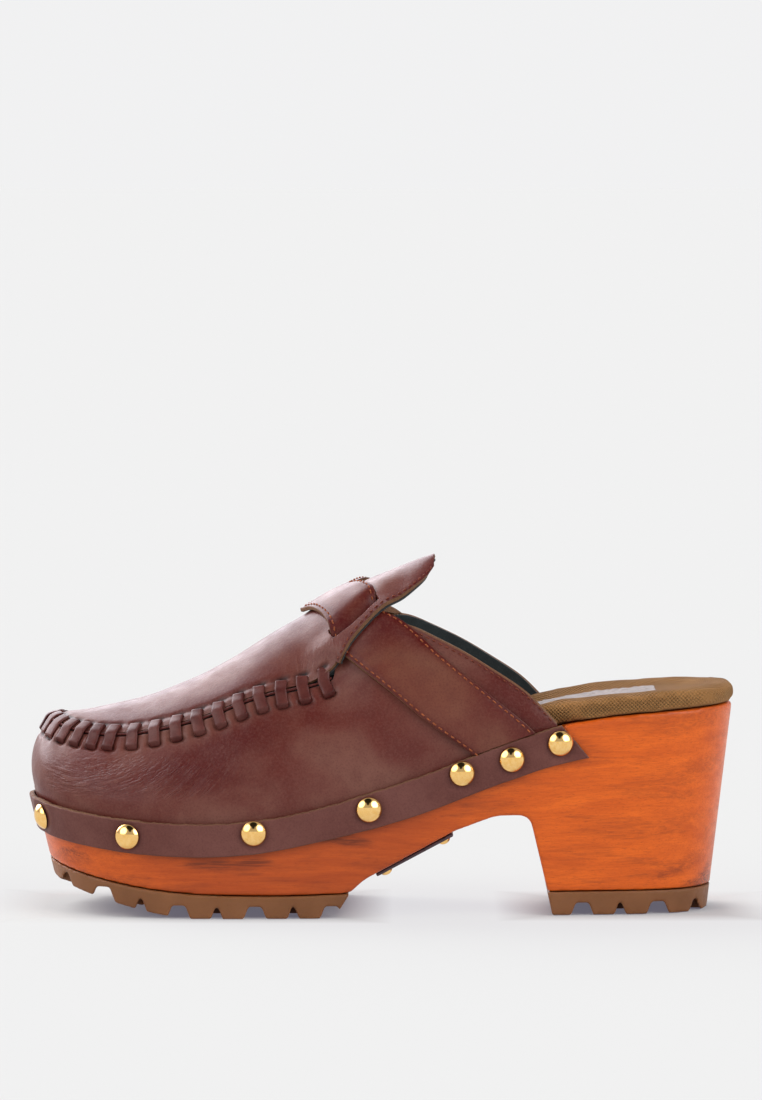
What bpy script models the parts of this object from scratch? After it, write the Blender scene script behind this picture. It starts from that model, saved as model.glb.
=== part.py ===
"""Wooden clog for the left foot: a platform sole of wood with a block heel, lugged rubber under it, a padded
footbed on it, and a closed leather upper nailed to its side through a leather rand.

+X runs from toe to heel, -Y is the outer (lateral) side, +Z is up, and the lugs stand on z = 0. Numbers are in
millimetres, and solid() turns them into metres. A plan outline, a side profile and a table of ribs drive the shape:
every layer of the upper is an offset of the surface that the ribs span.
"""

import math

import bmesh
import bpy
import numpy as np
from mathutils import Matrix, Vector
from mathutils.bvhtree import BVHTree

MM = 0.001
GAP = 0.3
CENTRE_SHIFT = (-0.115, 0.925, 0.0)  # puts the middle of the bounding box over the origin

# Plan outline of the wood at its top edge: heel, outer side, toe, inner side
OUTLINE = [
    (124.0, 0.0), (121.2, -12.5), (113.3, -23.5), (101.0, -30.5), (84.0, -33.8), (66.0, -35.8), (45.0, -38.0),
    (22.0, -40.5), (-2.0, -43.0), (-26.0, -45.0), (-50.0, -45.8), (-72.0, -44.4), (-90.0, -40.0), (-104.0, -32.5),
    (-114.5, -22.0), (-120.5, -9.5), (-122.4, 4.0), (-120.3, 17.5), (-114.0, 28.5), (-103.0, 37.5), (-88.0, 43.3),
    (-70.0, 45.8), (-50.0, 45.0), (-28.0, 41.5), (-5.0, 37.5), (18.0, 34.8), (42.0, 33.6), (66.0, 33.5),
    (84.0, 32.8), (101.0, 29.8), (113.3, 23.0), (121.2, 12.3),
]
TOE_KNOT = 16
LEAN_SIDE, LEAN_TOE, LEAN_HEEL = 0.07, 0.24, 0.12  # how far the wood's side leans out, per millimetre of height

# Side profiles, as (x, z)
SEAT_LINE = [
    (-135.0, 42.5), (-122.0, 39.3), (-112.0, 37.2), (-98.0, 35.2), (-87.0, 34.0), (-75.0, 33.2), (-60.0, 33.0),
    (-45.0, 34.0), (-28.0, 36.9), (-11.0, 41.4), (6.6, 47.0), (20.5, 51.8), (34.0, 57.0),
    (48.0, 62.0), (62.0, 66.3),
    (76.0, 69.0), (97.0, 71.0), (135.0, 73.4),
]
WOOD_FOREPART_LINE = [
    (-135.0, 23.5), (-118.0, 18.2), (-105.0, 14.7), (-94.0, 12.4), (-84.0, 10.7), (-73.0, 9.4), (-62.0, 8.6),
    (-48.0, 8.2), (-30.0, 8.2), (-10.8, 8.9),
]
ARCH_CORNERS = [(-10.8, 8.9, 0.0), (-5.8, 13.4, 14.0), (25.5, 30.1, 30.0), (40.0, 35.3, 16.0), (51.8, 35.3, 4.5)]
BREAST_FOOT = (58.2, 8.5)
HEEL_RUBBER_FOOT = (59.9, 0.0)
TREAD_LINE = [
    (-135.0, 19.0), (-121.0, 14.0), (-113.0, 10.8), (-107.0, 8.9), (-100.0, 6.8), (-94.0, 5.2), (-83.0, 2.5),
    (-74.0, 0.8), (-67.0, 0.0),
]
FOREPART_END = [(-16.6, 0.0), (-14.2, 3.2), (-10.9, 8.5)]

# Tread: wide grooves and narrow side cuts take turns along the sole
GROOVE_DEPTH = 4.2
WIDE_GROOVE = (3.9, 2.25)  # half widths at the ground and at the groove's roof
NARROW_GROOVE = (2.0, 0.45)
FOREPART_GROOVES = [-97.0, -70.4, -43.8, -17.2]
HEEL_GROOVES = [70.4, 97.0]
FOREPART_CUTS = [-110.3, -83.7, -57.1, -30.5]
HEEL_CUTS = [83.7, 110.3]
SIDE_LUG_LENGTH = 14.0
CHANNEL_WIDTH = 2.6

# Layers of the upper, as distances outside the wood's side
PRISM_LEVELS = (-6.0, 12.0, 27.0, 41.0, 96.0)
REBATE = -3.7
LINING = (-3.4, -2.7)
VAMP = (-2.1, -0.3)
RAND = (0.3, 2.2)
APRON_THICK, APRON_LINING_THICK = 1.4, 0.5
LAYER_GAP = 0.2
STRAP_THICK = 1.6
RAND_TOP_END, RAND_TIP_END = 62.8, 72.6
REBATE_END = 63.6
RAND_WIDTH_TOE, RAND_WIDTH_WAIST = 11.2, 13.0

# Ribs of the upper from toe (0) to heel end (18): where the rib starts on the outline, as a distance from the toe
# tip, the wall's top edge as (x, half width, z), and the crown over it as (x, z)
RIBS = [
    (0.0, (-117.6, 0.0, 67.0), (-117.6, 67.0)),
    (15.0, (-115.2, 9.0, 65.9), (-115.6, 67.9)),
    (30.5, (-111.0, 14.8, 64.5), (-111.5, 68.6)),
    (45.0, (-104.5, 20.0, 63.2), (-105.0, 69.2)),
    (56.0, (-96.5, 24.2, 62.6), (-97.0, 70.7)),
    (68.6, (-86.0, 27.3, 63.3), (-86.5, 73.1)),
    (83.0, (-73.0, 29.6, 66.0), (-73.5, 77.4)),
    (99.0, (-58.0, 30.8, 70.6), (-58.5, 84.4)),
    (115.0, (-43.5, 31.2, 76.2), (-44.5, 92.6)),
    (131.0, (-27.6, 30.9, 79.7), (-31.5, 100.6)),
    (145.0, (-15.0, 29.8, 84.8), (-20.5, 105.0)),
    (157.0, (-5.5, 26.6, 96.6), (-11.5, 108.4)),
    (169.0, (5.5, 25.6, 102.8), (-1.0, 110.6)),
    (180.0, (17.0, 29.6, 99.3), (9.0, 111.5)),
    (189.0, (29.0, 32.8, 93.4), (20.0, 110.0)),
    (196.5, (40.0, 34.4, 86.8), (32.0, 106.0)),
    (202.5, (49.5, 35.1, 80.5), (43.0, 100.0)),
    (207.2, (56.0, 35.4, 74.4), (51.0, 93.0)),
    (211.2, (61.4, 35.3, 68.6), (58.0, 87.0)),
]
LAST_RIB = 18
MEDIAL_SHARE = 0.982  # the inner side of the outline is this much shorter
MEDIAL_TAPER = 0.07  # and its topline lies this much nearer the middle at the waist
TOE_OFFSET = 4.0  # the toe tip lies this far towards the big toe

# The apron runs on past the lacing as a tongue: rib number, edge as (x, half width, z), centre as (x, z)
TONGUE = [
    (10.0, (-16.6, 32.0, 86.2), (-20.5, 107.6)),
    (11.0, (-11.4, 29.4, 94.4), (-14.2, 110.8)),
    (12.0, (-5.5, 27.0, 101.2), (-7.6, 114.0)),
    (13.0, (-0.3, 25.0, 106.8), (-0.8, 117.0)),
    (14.0, (5.6, 22.0, 110.6), (6.4, 120.0)),
    (15.0, (12.8, 16.2, 115.4), (13.4, 122.9)),
    (15.6, (17.0, 11.0, 118.6), (16.9, 124.2)),
    (16.0, (18.8, 6.8, 120.9), (18.8, 124.8)),
]
TONGUE_END = 16
TOE_ROW_RIB = 1.5

# Saddle strap: rays at these angles round the axis at AXIS_Z meet its front and rear edges at these x
AXIS_Z = 60.0
STRAP_ANGLES = [-12.0, -3.5, 10.5, 22.2, 34.4, 45.8, 55.0, 65.0, 73.0, 80.0, 90.0]
STRAP_FRONT_X = [37.5, 31.2, 17.0, 6.6, -3.8, -12.5, -17.0, -19.8, -22.6, -25.0, -28.6]
STRAP_REAR_X = [60.5, 58.6, 50.9, 40.2, 28.6, 18.3, 10.3, 0.2, -2.8, -5.6, -9.5]
SLIT_ANGLES = (67.5, 72.5)

# Lacing, nails and shank plate
STITCHES_PER_SIDE = 15
FIRST_STITCH, STITCH_PITCH = 3.9, 7.5
STITCH_WIDTH, STITCH_THICK = 4.6, 1.1
STITCH_REACH = (6.4, 4.6)  # down the wall, and over the apron
SEAM_CORD_RADIUS, SEAM_CORD_RISE = 1.0, 0.45
SEAM_GAP = 1.3
NAILS = [(20.5, 0.3), (61.0, 0.2), (105.0, 1.8), (145.0, 1.0), (177.5, 2.4), (195.0, 0.7), (212.0, 0.9)]
NAIL_HEAD_RADIUS, NAIL_HEAD_HEIGHT = 4.5, 2.5
NAIL_SHANK_RADIUS, NAIL_DEPTH = 0.9, 9.0
PLATE_X, PLATE_Y, PLATE_THICK = (-2.0, 24.6), (-37.0, 31.5), 1.2
SCREW_INSET = (3.2, 4.0)
SCREW_HEAD_RADIUS, SCREW_HEAD_HEIGHT, SCREW_SHANK_RADIUS, SCREW_DEPTH = 2.1, 1.4, 0.8, 8.0

# Footbed: rings of its section, as (inset from its outline, height as a share of its edge height)
FOOTBED_RINGS = [(0.5, 0.0), (-0.2, 0.25), (-0.4, 0.5), (0.3, 0.78), (2.0, 0.96), (4.6, 1.0), (10.0, 0.88)]
FOOTBED_HEIGHT_FRONT, FOOTBED_HEIGHT_HEEL = 5.0, 7.4
FOOTBED_INSET_FRONT, FOOTBED_OVERHANG_HEEL = 4.2, 0.5
COVER_THICK = 0.8
SOCK_X, SOCK_HALF_WIDTH, SOCK_THICK = (22.0, 97.0), 15.0, 0.6

MATERIALS = {
    "wood": ((0.66, 0.20, 0.045), 0.42, 0.0),
    "rubber": ((0.17, 0.10, 0.045), 0.62, 0.0),
    "canvas": ((0.23, 0.145, 0.06), 0.9, 0.0),
    "foam": ((0.75, 0.70, 0.58), 0.9, 0.0),
    "sock": ((0.45, 0.40, 0.36), 0.75, 0.0),
    "leather": ((0.115, 0.030, 0.026), 0.35, 0.0),
    "rand": ((0.14, 0.062, 0.05), 0.5, 0.0),
    "lining": ((0.03, 0.045, 0.045), 0.8, 0.0),
    "brass": ((0.90, 0.62, 0.22), 0.18, 1.0),
    "plate": ((0.07, 0.03, 0.035), 0.5, 0.0),
}


def clear_scene():
    for thing in list(bpy.data.objects):
        bpy.data.objects.remove(thing, do_unlink=True)


def spline(knots, values, at):
    """Reads a natural cubic spline through values at knots."""
    knots = np.asarray(knots, float)
    values = np.asarray(values, float)
    flat = values.reshape(len(knots), -1)
    step = np.diff(knots)
    count = len(knots)
    system = np.eye(count)
    right = np.zeros_like(flat)
    for i in range(1, count - 1):
        system[i, i - 1 : i + 2] = step[i - 1], 2 * (step[i - 1] + step[i]), step[i]
        rise = (flat[i + 1] - flat[i]) / step[i]
        right[i] = 6 * (rise - (flat[i] - flat[i - 1]) / step[i - 1])
    bend = np.linalg.solve(system, right)
    at = np.asarray(at, float)
    places = at.ravel()
    i = np.clip(np.searchsorted(knots, places) - 1, 0, count - 2)
    width = step[i][:, None]
    after = ((places - knots[i]) / step[i])[:, None]
    before = 1 - after
    curve = (before**3 - before) * bend[i] + (after**3 - after) * bend[i + 1]
    read = before * flat[i] + after * flat[i + 1] + curve * width**2 / 6
    return read.reshape(at.shape + values.shape[1:])


def smoothstep(value, low, high):
    share = np.clip((np.asarray(value, float) - low) / (high - low), 0, 1)
    return share * share * (3 - 2 * share)


def profile(points):
    """A side profile as a function that gives z at x."""
    xs, zs = zip(*points)
    return lambda x: spline(xs, zs, x)


def rounded(corners, segments=6):
    """A polyline of (x, z, radius) corners with each one rounded to its radius."""
    points = [corners[0][:2]]
    for before, corner, after in zip(corners, corners[1:], corners[2:]):
        middle = np.array(corner[:2])
        back = np.array(before[:2]) - middle
        ahead = np.array(after[:2]) - middle
        back /= np.linalg.norm(back)
        ahead /= np.linalg.norm(ahead)
        half = math.acos(np.clip(back @ ahead, -1, 1)) / 2
        reach = corner[2] / math.tan(half)
        centre = middle + (back + ahead) / np.linalg.norm(back + ahead) * corner[2] / math.sin(half)
        start, end = middle + back * reach - centre, middle + ahead * reach - centre
        for i in range(segments + 1):
            arm = start + (end - start) * i / segments
            points.append(tuple(centre + arm / np.linalg.norm(arm) * corner[2]))
    points.append(corners[-1][:2])
    return points


seat = profile(SEAT_LINE)
wood_bottom = profile(WOOD_FOREPART_LINE)
tread = profile(TREAD_LINE)


class Outline:
    """The plan outline, read by its distance from the toe tip: negative on the outer side, positive inside."""

    def __init__(self, points, toe_knot):
        wrapped = np.array(points[-3:] + points + points[:3], float)
        knots = np.r_[0, np.cumsum(np.linalg.norm(np.diff(wrapped, axis=0), axis=1))]
        dense = spline(knots, wrapped, np.linspace(knots[3], knots[-3], 2001))
        lengths = np.r_[0, np.cumsum(np.linalg.norm(np.diff(dense, axis=0), axis=1))]
        self.length = lengths[-1]
        toe_tip = np.array(points[toe_knot])
        toe = lengths[np.argmin(np.linalg.norm(dense - toe_tip, axis=1))]
        self.outer_end, self.inner_end = -toe, self.length - toe
        self.places = lengths - toe
        self.points = dense
        tangent = np.gradient(dense, self.places, axis=0)
        tangent /= np.linalg.norm(tangent, axis=1)[:, None]
        self.normals = np.stack([-tangent[:, 1], tangent[:, 0]], axis=1)
        if self.normals[0][0] < 0:
            self.normals = -self.normals

    def read(self, place):
        """Points and outward normals at distances from the toe tip."""
        place = np.asarray(place, float)
        wrapped = (place - self.outer_end) % self.length + self.outer_end
        point = np.stack([np.interp(wrapped, self.places, self.points[:, i]) for i in (0, 1)], axis=-1)
        normal = np.stack([np.interp(wrapped, self.places, self.normals[:, i]) for i in (0, 1)], axis=-1)
        return point, normal / np.linalg.norm(normal, axis=-1, keepdims=True)

    def place_of_x(self, x, side):
        """The distance from the toe tip at which the outer (-1) or inner (1) side passes x."""
        half = (self.places < 0) if side < 0 else (self.places > 0)
        xs, places = self.points[half, 0], self.places[half]
        order = np.argsort(xs)
        return float(np.interp(x, xs[order], places[order]))


outline = Outline(OUTLINE, TOE_KNOT)


def side_point(place, z, out=0.0):
    """A point on the wood's leaning side, moved out from it by a distance."""
    point, normal = outline.read(place)
    z = np.asarray(z, float) + np.zeros(point.shape[:-1])
    lean = LEAN_SIDE + (LEAN_TOE - LEAN_SIDE) * np.maximum(0, -normal[..., 0]) ** 2
    lean += (LEAN_HEEL - LEAN_SIDE) * np.maximum(0, normal[..., 0]) ** 2
    moved = point + normal * (out + lean * (z - seat(point[..., 0])))[..., None]
    return np.concatenate([moved, z[..., None]], axis=-1)


def rand_bottom(place):
    x = outline.read(place)[0][..., 0]
    return seat(x) - RAND_WIDTH_TOE - (RAND_WIDTH_WAIST - RAND_WIDTH_TOE) * smoothstep(x, -30, 15)


def centre_y(x):
    return TOE_OFFSET * smoothstep(-np.asarray(x, float), 55, 120)


rib_numbers = np.arange(len(RIBS), dtype=float)
rib_bases = [rib[0] for rib in RIBS]
rib_tops = [rib[1] for rib in RIBS]
rib_crowns = [rib[2] for rib in RIBS]


def crown(edge, centre, side, across, power):
    """A point from the edge (across 1) over to the crown line (across 0)."""
    x = centre[..., 0] + (edge[..., 0] - centre[..., 0]) * across**2
    z = edge[..., 2] + (centre[..., 1] - edge[..., 2]) * (1 - across**power)
    return np.stack([x, centre_y(x) + side * edge[..., 1] * across, z], axis=-1)


def last_point(rib, height):
    """The upper's outer surface. rib is negative on the outer side; height runs from 0 at the wood's top edge to 1
    at the wall's top edge and 2 on the crown line, and below 0 it goes down behind the rand, in millimetres."""
    rib, height = np.broadcast_arrays(np.asarray(rib, float), np.asarray(height, float))
    side = np.where(rib < 0, -1.0, 1.0)
    number = np.abs(rib)
    share = np.where(side > 0, MEDIAL_SHARE, 1.0)
    place = side * spline(rib_numbers, rib_bases, number) * share
    point, normal = outline.read(place)
    base_z = seat(point[..., 0])
    base = side_point(place, base_z + np.minimum(height, 0), VAMP[1])
    top = spline(rib_numbers, rib_tops, number)
    top[..., 1] *= np.where(side > 0, 1 - MEDIAL_TAPER * smoothstep(number, 8, 15), 1.0)
    top_point = np.stack([top[..., 0], centre_y(top[..., 0]) + side * top[..., 1], top[..., 2]], axis=-1)
    length = np.linalg.norm(top_point - base, axis=-1)[..., None]
    out = np.concatenate([normal, np.zeros(normal.shape[:-1] + (1,))], axis=-1)
    up = np.array([0.0, 0.0, 1.0])
    toeness = np.maximum(0, -normal[..., 0])[..., None]
    rear = smoothstep(number, 9, 14)[..., None]
    first = base + (out * (0.14 + 0.16 * toeness) + up) * 0.4 * length
    second = top_point + (out * (0.6 - 0.42 * rear) - up * (0.8 + 0.1 * rear)) * 0.35 * length
    t = np.clip(height, 0, 1)[..., None]
    wall = (1 - t) ** 3 * base + 3 * (1 - t) ** 2 * t * first + 3 * (1 - t) * t**2 * second + t**3 * top_point
    over = crown(top, spline(rib_numbers, rib_crowns, number), side, np.clip(2 - height, 0, 1), 2.3)
    return np.where(height[..., None] > 1, over, wall)


def grid_normals(grid, outside):
    """Unit normals of a grid of points, turned away from the point outside is measured from."""
    normal = np.cross(np.gradient(grid, axis=0), np.gradient(grid, axis=1))
    normal /= np.maximum(np.linalg.norm(normal, axis=-1, keepdims=True), 1e-9)
    wrong = np.einsum("ijk,ijk->ij", normal, grid - outside) < 0
    normal[wrong] *= -1
    return normal


def inner_of(grid, depth):
    """The same grid moved a distance into the shoe."""
    heart = np.stack([grid[..., 0] * 0.75 + 8, np.zeros(grid.shape[:2]), np.full(grid.shape[:2], 52.0)], axis=-1)
    return grid - grid_normals(grid, heart) * depth


def solid(name, vertices, faces, material, helper=False):
    """An object from points in millimetres. A helper only cuts, and isn't part of the clog."""
    mesh = bpy.data.meshes.new(name)
    work = bmesh.new()
    shift = np.array(CENTRE_SHIFT)
    made = [work.verts.new(Vector((np.asarray(v) + shift) * MM)) for v in vertices]
    for face in faces:
        work.faces.new([made[i] for i in face])
    bmesh.ops.recalc_face_normals(work, faces=work.faces)
    bmesh.ops.triangulate(work, faces=work.faces)
    work.to_mesh(mesh)
    work.free()
    mesh.shade_smooth()
    mesh.set_sharp_from_angle(angle=math.radians(35))
    thing = bpy.data.objects.new(name, mesh)
    bpy.context.scene.collection.objects.link(thing)
    if helper:
        thing.hide_render = True
        thing.display_type = "WIRE"
    else:
        mesh.materials.append(material_of(material))
    return thing


def material_of(name):
    if name in bpy.data.materials:
        return bpy.data.materials[name]
    colour, roughness, metallic = MATERIALS[name]
    made = bpy.data.materials.new(name)
    made.use_nodes = True
    shader = made.node_tree.nodes["Principled BSDF"]
    shader.inputs["Base Color"].default_value = (*colour, 1.0)
    shader.inputs["Roughness"].default_value = roughness
    shader.inputs["Metallic"].default_value = metallic
    return made


def shell(name, outer, inner, material, helper=False):
    """A closed sheet between two grids of points."""
    rows, columns = outer.shape[:2]
    size = rows * columns

    def at(i, j, layer):
        return layer * size + i * columns + j

    faces = []
    for i in range(rows - 1):
        for j in range(columns - 1):
            faces.append((at(i, j, 0), at(i + 1, j, 0), at(i + 1, j + 1, 0), at(i, j + 1, 0)))
            faces.append((at(i, j, 1), at(i, j + 1, 1), at(i + 1, j + 1, 1), at(i + 1, j, 1)))
    for i in range(rows - 1):
        faces.append((at(i, 0, 0), at(i, 0, 1), at(i + 1, 0, 1), at(i + 1, 0, 0)))
        end = columns - 1
        faces.append((at(i, end, 0), at(i + 1, end, 0), at(i + 1, end, 1), at(i, end, 1)))
    for j in range(columns - 1):
        faces.append((at(0, j, 0), at(0, j + 1, 0), at(0, j + 1, 1), at(0, j, 1)))
        end = rows - 1
        faces.append((at(end, j, 0), at(end, j, 1), at(end, j + 1, 1), at(end, j + 1, 0)))
    points = np.concatenate([outer.reshape(-1, 3), inner.reshape(-1, 3)])
    return solid(name, points, faces, material, helper)


def rings(name, stack, material, helper=False):
    """A closed solid through rings of equal counts. Each end is closed by a ladder across the ring, so an end that
    curves from toe to heel keeps its shape."""
    count = len(stack[0])
    faces = []
    for level in range(len(stack) - 1):
        for i in range(count):
            j = (i + 1) % count
            low, high = level * count, (level + 1) * count
            faces.append((low + i, low + j, high + j, high + i))
    for start in (0, (len(stack) - 1) * count):
        half = count // 2
        faces.append((start, start + 1, start + count - 1))
        for i in range(1, half - 1):
            faces.append((start + i, start + i + 1, start + count - i - 1, start + count - i))
        faces.append((start + half - 1, start + half, start + half + 1))
    return solid(name, np.concatenate(stack), faces, material, helper)


def plate(name, outline_xz, y_low, y_high, material=None, helper=False):
    """A side profile, a closed list of (x, z), extruded across the shoe."""
    count = len(outline_xz)
    near = [(x, y_low, z) for x, z in outline_xz]
    far = [(x, y_high, z) for x, z in outline_xz]
    faces = [tuple(range(count)), tuple(range(2 * count - 1, count - 1, -1))]
    faces += [(i, (i + 1) % count, count + (i + 1) % count, count + i) for i in range(count)]
    return solid(name, near + far, faces, material, helper)


def turned(name, section, origin, axis, material, segments=10):
    """A round solid from a section of (radius, height) points that starts and ends on the axis."""
    frame = Vector(axis).to_track_quat("Z", "Y").to_matrix()
    points, index = [], []
    for radius, height in section:
        if radius == 0:
            index.append([len(points)] * segments)
            points.append((0.0, 0.0, height))
            continue
        index.append(list(range(len(points), len(points) + segments)))
        for k in range(segments):
            turn = 2 * math.pi * k / segments
            points.append((radius * math.cos(turn), radius * math.sin(turn), height))
    faces = []
    for low, high in zip(index, index[1:]):
        for k in range(segments):
            following = (k + 1) % segments
            face = (low[k], low[following], high[following], high[k])
            faces.append(tuple(dict.fromkeys(face)))
    placed = [np.array(frame @ Vector(p)) + np.asarray(origin) for p in points]
    return solid(name, placed, faces, material) if name else (placed, faces)


def joined_helper(name, pieces):
    """One cutter from several (points, faces) pieces."""
    points, faces = [], []
    for piece_points, piece_faces in pieces:
        faces += [tuple(i + len(points) for i in face) for face in piece_faces]
        points += list(piece_points)
    return solid(name, points, faces, None, helper=True)


def cut(thing, cutter, operation="DIFFERENCE"):
    step = thing.modifiers.new(operation.title() + "_" + cutter.name, "BOOLEAN")
    step.operation = operation
    step.solver = "EXACT"
    step.object = cutter


def around(count):
    """Even places round the whole outline, starting at the back of the heel."""
    return outline.outer_end + outline.length * np.arange(count) / count


def prism(name, count=84):
    """The space inside the wood's leaning side, tall enough to cut any profile."""
    places = around(count)
    return rings(name, [side_point(places, z) for z in PRISM_LEVELS], None, helper=True)


def make_wood(body, nail_cutter, screw_cutter):
    """The sole: a side profile cut to the plan outline, with a rebate round its top edge for the upper."""
    xs = np.linspace(-130, 130, 27)
    top = [(x, float(seat(x))) for x in xs[::-1]]
    forepart = [(x, float(wood_bottom(x))) for x in np.linspace(-130, -12, 15)]
    arch = rounded(ARCH_CORNERS + [(*BREAST_FOOT, 0.0)])
    wood = plate("wood_sole", forepart + arch + [(130.0, BREAST_FOOT[1])] + top, -70, 70, "wood")
    cut(wood, body, "INTERSECT")
    start, end = (outline.place_of_x(REBATE_END, side) for side in (-1, 1))
    places = np.linspace(start, end, 64)
    floor = rand_bottom(places) + 2.2
    outer = np.stack([side_point(places, floor, 12.0), side_point(places, 95.0, 12.0)], axis=1)
    inner = np.stack([side_point(places, floor, REBATE), side_point(places, 95.0, REBATE)], axis=1)
    cut(wood, shell("rebate_cutter", outer, inner, None, helper=True))
    cut(wood, nail_cutter)
    cut(wood, screw_cutter)
    return wood


def groove_section(x, half_widths):
    """The closed (x, z) section of a tread groove."""
    ground = float(tread(x)) if x < TREAD_LINE[-1][0] else 0.0
    low, high = half_widths
    flare = low + (low - high) * 6.0 / GROOVE_DEPTH
    bottom, roof = ground - 6.0, ground + GROOVE_DEPTH
    return [(x - flare, bottom), (x + flare, bottom), (x + high, roof), (x - high, roof)]


def channel(name, first, last, count):
    """A groove that follows the outline inside the row of side lugs, between two places on it."""
    places = np.linspace(first, last, count)
    edges = (-SIDE_LUG_LENGTH, -SIDE_LUG_LENGTH - CHANNEL_WIDTH)
    x = side_point(places, 4.0, sum(edges) / 2)[:, 0]
    ground = np.where(x < TREAD_LINE[-1][0], tread(np.minimum(x, TREAD_LINE[-1][0])), 0.0)
    roof = ground + GROOVE_DEPTH - 0.4
    walls = [np.stack([side_point(places, z, out) for z in (ground - 6.0, roof)], axis=1) for out in edges]
    return shell(name, *walls, None, helper=True)


def make_outsole(name, body, section, grooves, cuts, channel_cutter):
    """A lugged rubber sole: its section cut to the outline, then grooved across and along."""
    rubber = plate(name, section, -70, 70, "rubber")
    cut(rubber, body, "INTERSECT")
    for i, x in enumerate(grooves):
        cut(rubber, plate(f"{name}_groove_{i}", groove_section(x, WIDE_GROOVE), -75, 75, helper=True))
    cut(rubber, channel_cutter)
    for i, x in enumerate(cuts):
        for side in (-1, 1):
            inside = side_point(outline.place_of_x(x, side), 4.0, -SIDE_LUG_LENGTH - 1.0)[1]
            low, high = sorted((inside, side * 75.0))
            cutter = plate(f"{name}_cut_{i}_{side}", groove_section(x, NARROW_GROOVE), low, high, helper=True)
            cut(rubber, cutter)


def make_outsoles(body):
    top = [(x, float(wood_bottom(x)) - GAP) for x in np.linspace(-12.0, -130, 16)]
    toe = [(x, float(tread(x))) for x in np.linspace(-130, TREAD_LINE[-1][0], 12)]
    band = (outline.place_of_x(-8.0, -1), outline.place_of_x(-8.0, 1))
    make_outsole("forepart_outsole", body, toe + FOREPART_END + top, FOREPART_GROOVES, FOREPART_CUTS,
                 channel("forepart_channel", *band, 40))
    top_z = BREAST_FOOT[1] - GAP
    heel = [HEEL_RUBBER_FOOT, (130.0, 0.0), (130.0, top_z), (BREAST_FOOT[0], top_z)]
    band = (outline.place_of_x(50.0, 1), outline.place_of_x(50.0, -1) + outline.length)
    make_outsole("heel_outsole", body, heel, HEEL_GROOVES, HEEL_CUTS, channel("heel_channel", *band, 26))


def footbed_ring(places, inset, z):
    """A ring round the footbed: inside the upper in front, flush with the wood round the heel."""
    x = outline.read(places)[0][..., 0]
    out = -FOOTBED_INSET_FRONT + (FOOTBED_INSET_FRONT + FOOTBED_OVERHANG_HEEL) * smoothstep(x, 64, 72)
    ring = side_point(places, seat(x), 0.0)
    moved = side_point(places, seat(x), out - inset)
    moved[..., 2] = seat(ring[..., 0]) + z
    return moved


def footbed_height(places):
    x = outline.read(places)[0][..., 0]
    return FOOTBED_HEIGHT_FRONT + (FOOTBED_HEIGHT_HEEL - FOOTBED_HEIGHT_FRONT) * smoothstep(x, 10, 80)


def make_footbed():
    """A foam pad, the canvas that wraps it, and the sock patch on top."""
    places = around(48)
    tall = footbed_height(places)
    outside, inside, pad = [], [], []
    for inset, share in FOOTBED_RINGS:
        outside.append(footbed_ring(places, inset, GAP + share * tall))
        inside.append(footbed_ring(places, inset + COVER_THICK, GAP + share * (tall - COVER_THICK)))
        level = GAP + share * (tall - COVER_THICK - GAP)
        pad.append(footbed_ring(places, inset + COVER_THICK + GAP, level))
    rings("footbed_cover", outside[::-1] + inside, "canvas")
    rings("footbed_pad", pad, "foam")
    top = outside[-1]
    half = len(top) // 2
    surface = tree_of(np.stack([top[: half + 1], np.roll(top, -1, axis=0)[half - 1 :][::-1]], axis=1))
    low = []
    for x in np.linspace(*SOCK_X, 14):
        row = [(x, y, 200.0) for y in np.linspace(-SOCK_HALF_WIDTH, SOCK_HALF_WIDTH, 3)]
        hits = [surface.ray_cast(Vector(start), Vector((0, 0, -1)))[0] for start in row]
        low.append([np.array(hit) + (0.0, 0.0, GAP + 0.05) for hit in hits])
    low = np.array(low)
    shell("sock_patch", low + (0.0, 0.0, SOCK_THICK), low, "sock")


def make_rand(nail_cutter):
    """The strip round the sole's edge. Its ends are cut to a point at the bottom."""
    rows = []
    for share in (0.0, 1.0):
        end_x = RAND_TIP_END + (RAND_TOP_END - RAND_TIP_END) * share
        places = np.linspace(outline.place_of_x(end_x, -1), outline.place_of_x(end_x, 1), 72)
        low = rand_bottom(places)
        top = seat(outline.read(places)[0][..., 0]) + 0.3
        rows.append((places, low + (top - low) * share))
    outer = np.stack([side_point(places, z, RAND[1]) for places, z in rows], axis=1)
    inner = np.stack([side_point(places, z, RAND[0]) for places, z in rows], axis=1)
    cut(shell("rand", outer, inner, "rand"), nail_cutter)


def rand_zone(name):
    """The space that the rand and the wood take up, to trim what ends at the rand's top edge."""
    places = np.linspace(outline.place_of_x(90.0, -1), outline.place_of_x(90.0, 1), 60)
    top = seat(outline.read(places)[0][..., 0]) + 0.3 + GAP
    walls = [np.stack([side_point(places, z, out) for z in (top - 30.0, top)], axis=1) for out in (12.0, -12.0)]
    return shell(name, *walls, None, helper=True)


def wall_length(rib):
    return float(np.linalg.norm(np.diff(last_point(rib, np.linspace(0, 1, 12)), axis=0), axis=1).sum())


def crown_length(rib):
    return float(np.linalg.norm(np.diff(last_point(rib, np.linspace(1, 2, 12)), axis=0), axis=1).sum())


def wall_grid(ribs, top_heights, rows):
    """The wall from behind the rand up to a height on each rib."""
    grid = []
    for rib, top in zip(ribs, top_heights):
        grid.append(last_point(rib, np.r_[-8.4, 0.0, np.linspace(0, top, rows)[1:]]))
    return np.stack(grid)


def make_vamp(nail_cutter):
    ribs = np.linspace(-LAST_RIB, LAST_RIB, 49)
    tops = [1 - SEAM_GAP / max(wall_length(rib), 2.5) for rib in ribs]
    outer = wall_grid(ribs, tops, 6)
    cut(shell("vamp", outer, inner_of(outer, VAMP[1] - VAMP[0]), "leather"), nail_cutter)


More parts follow.
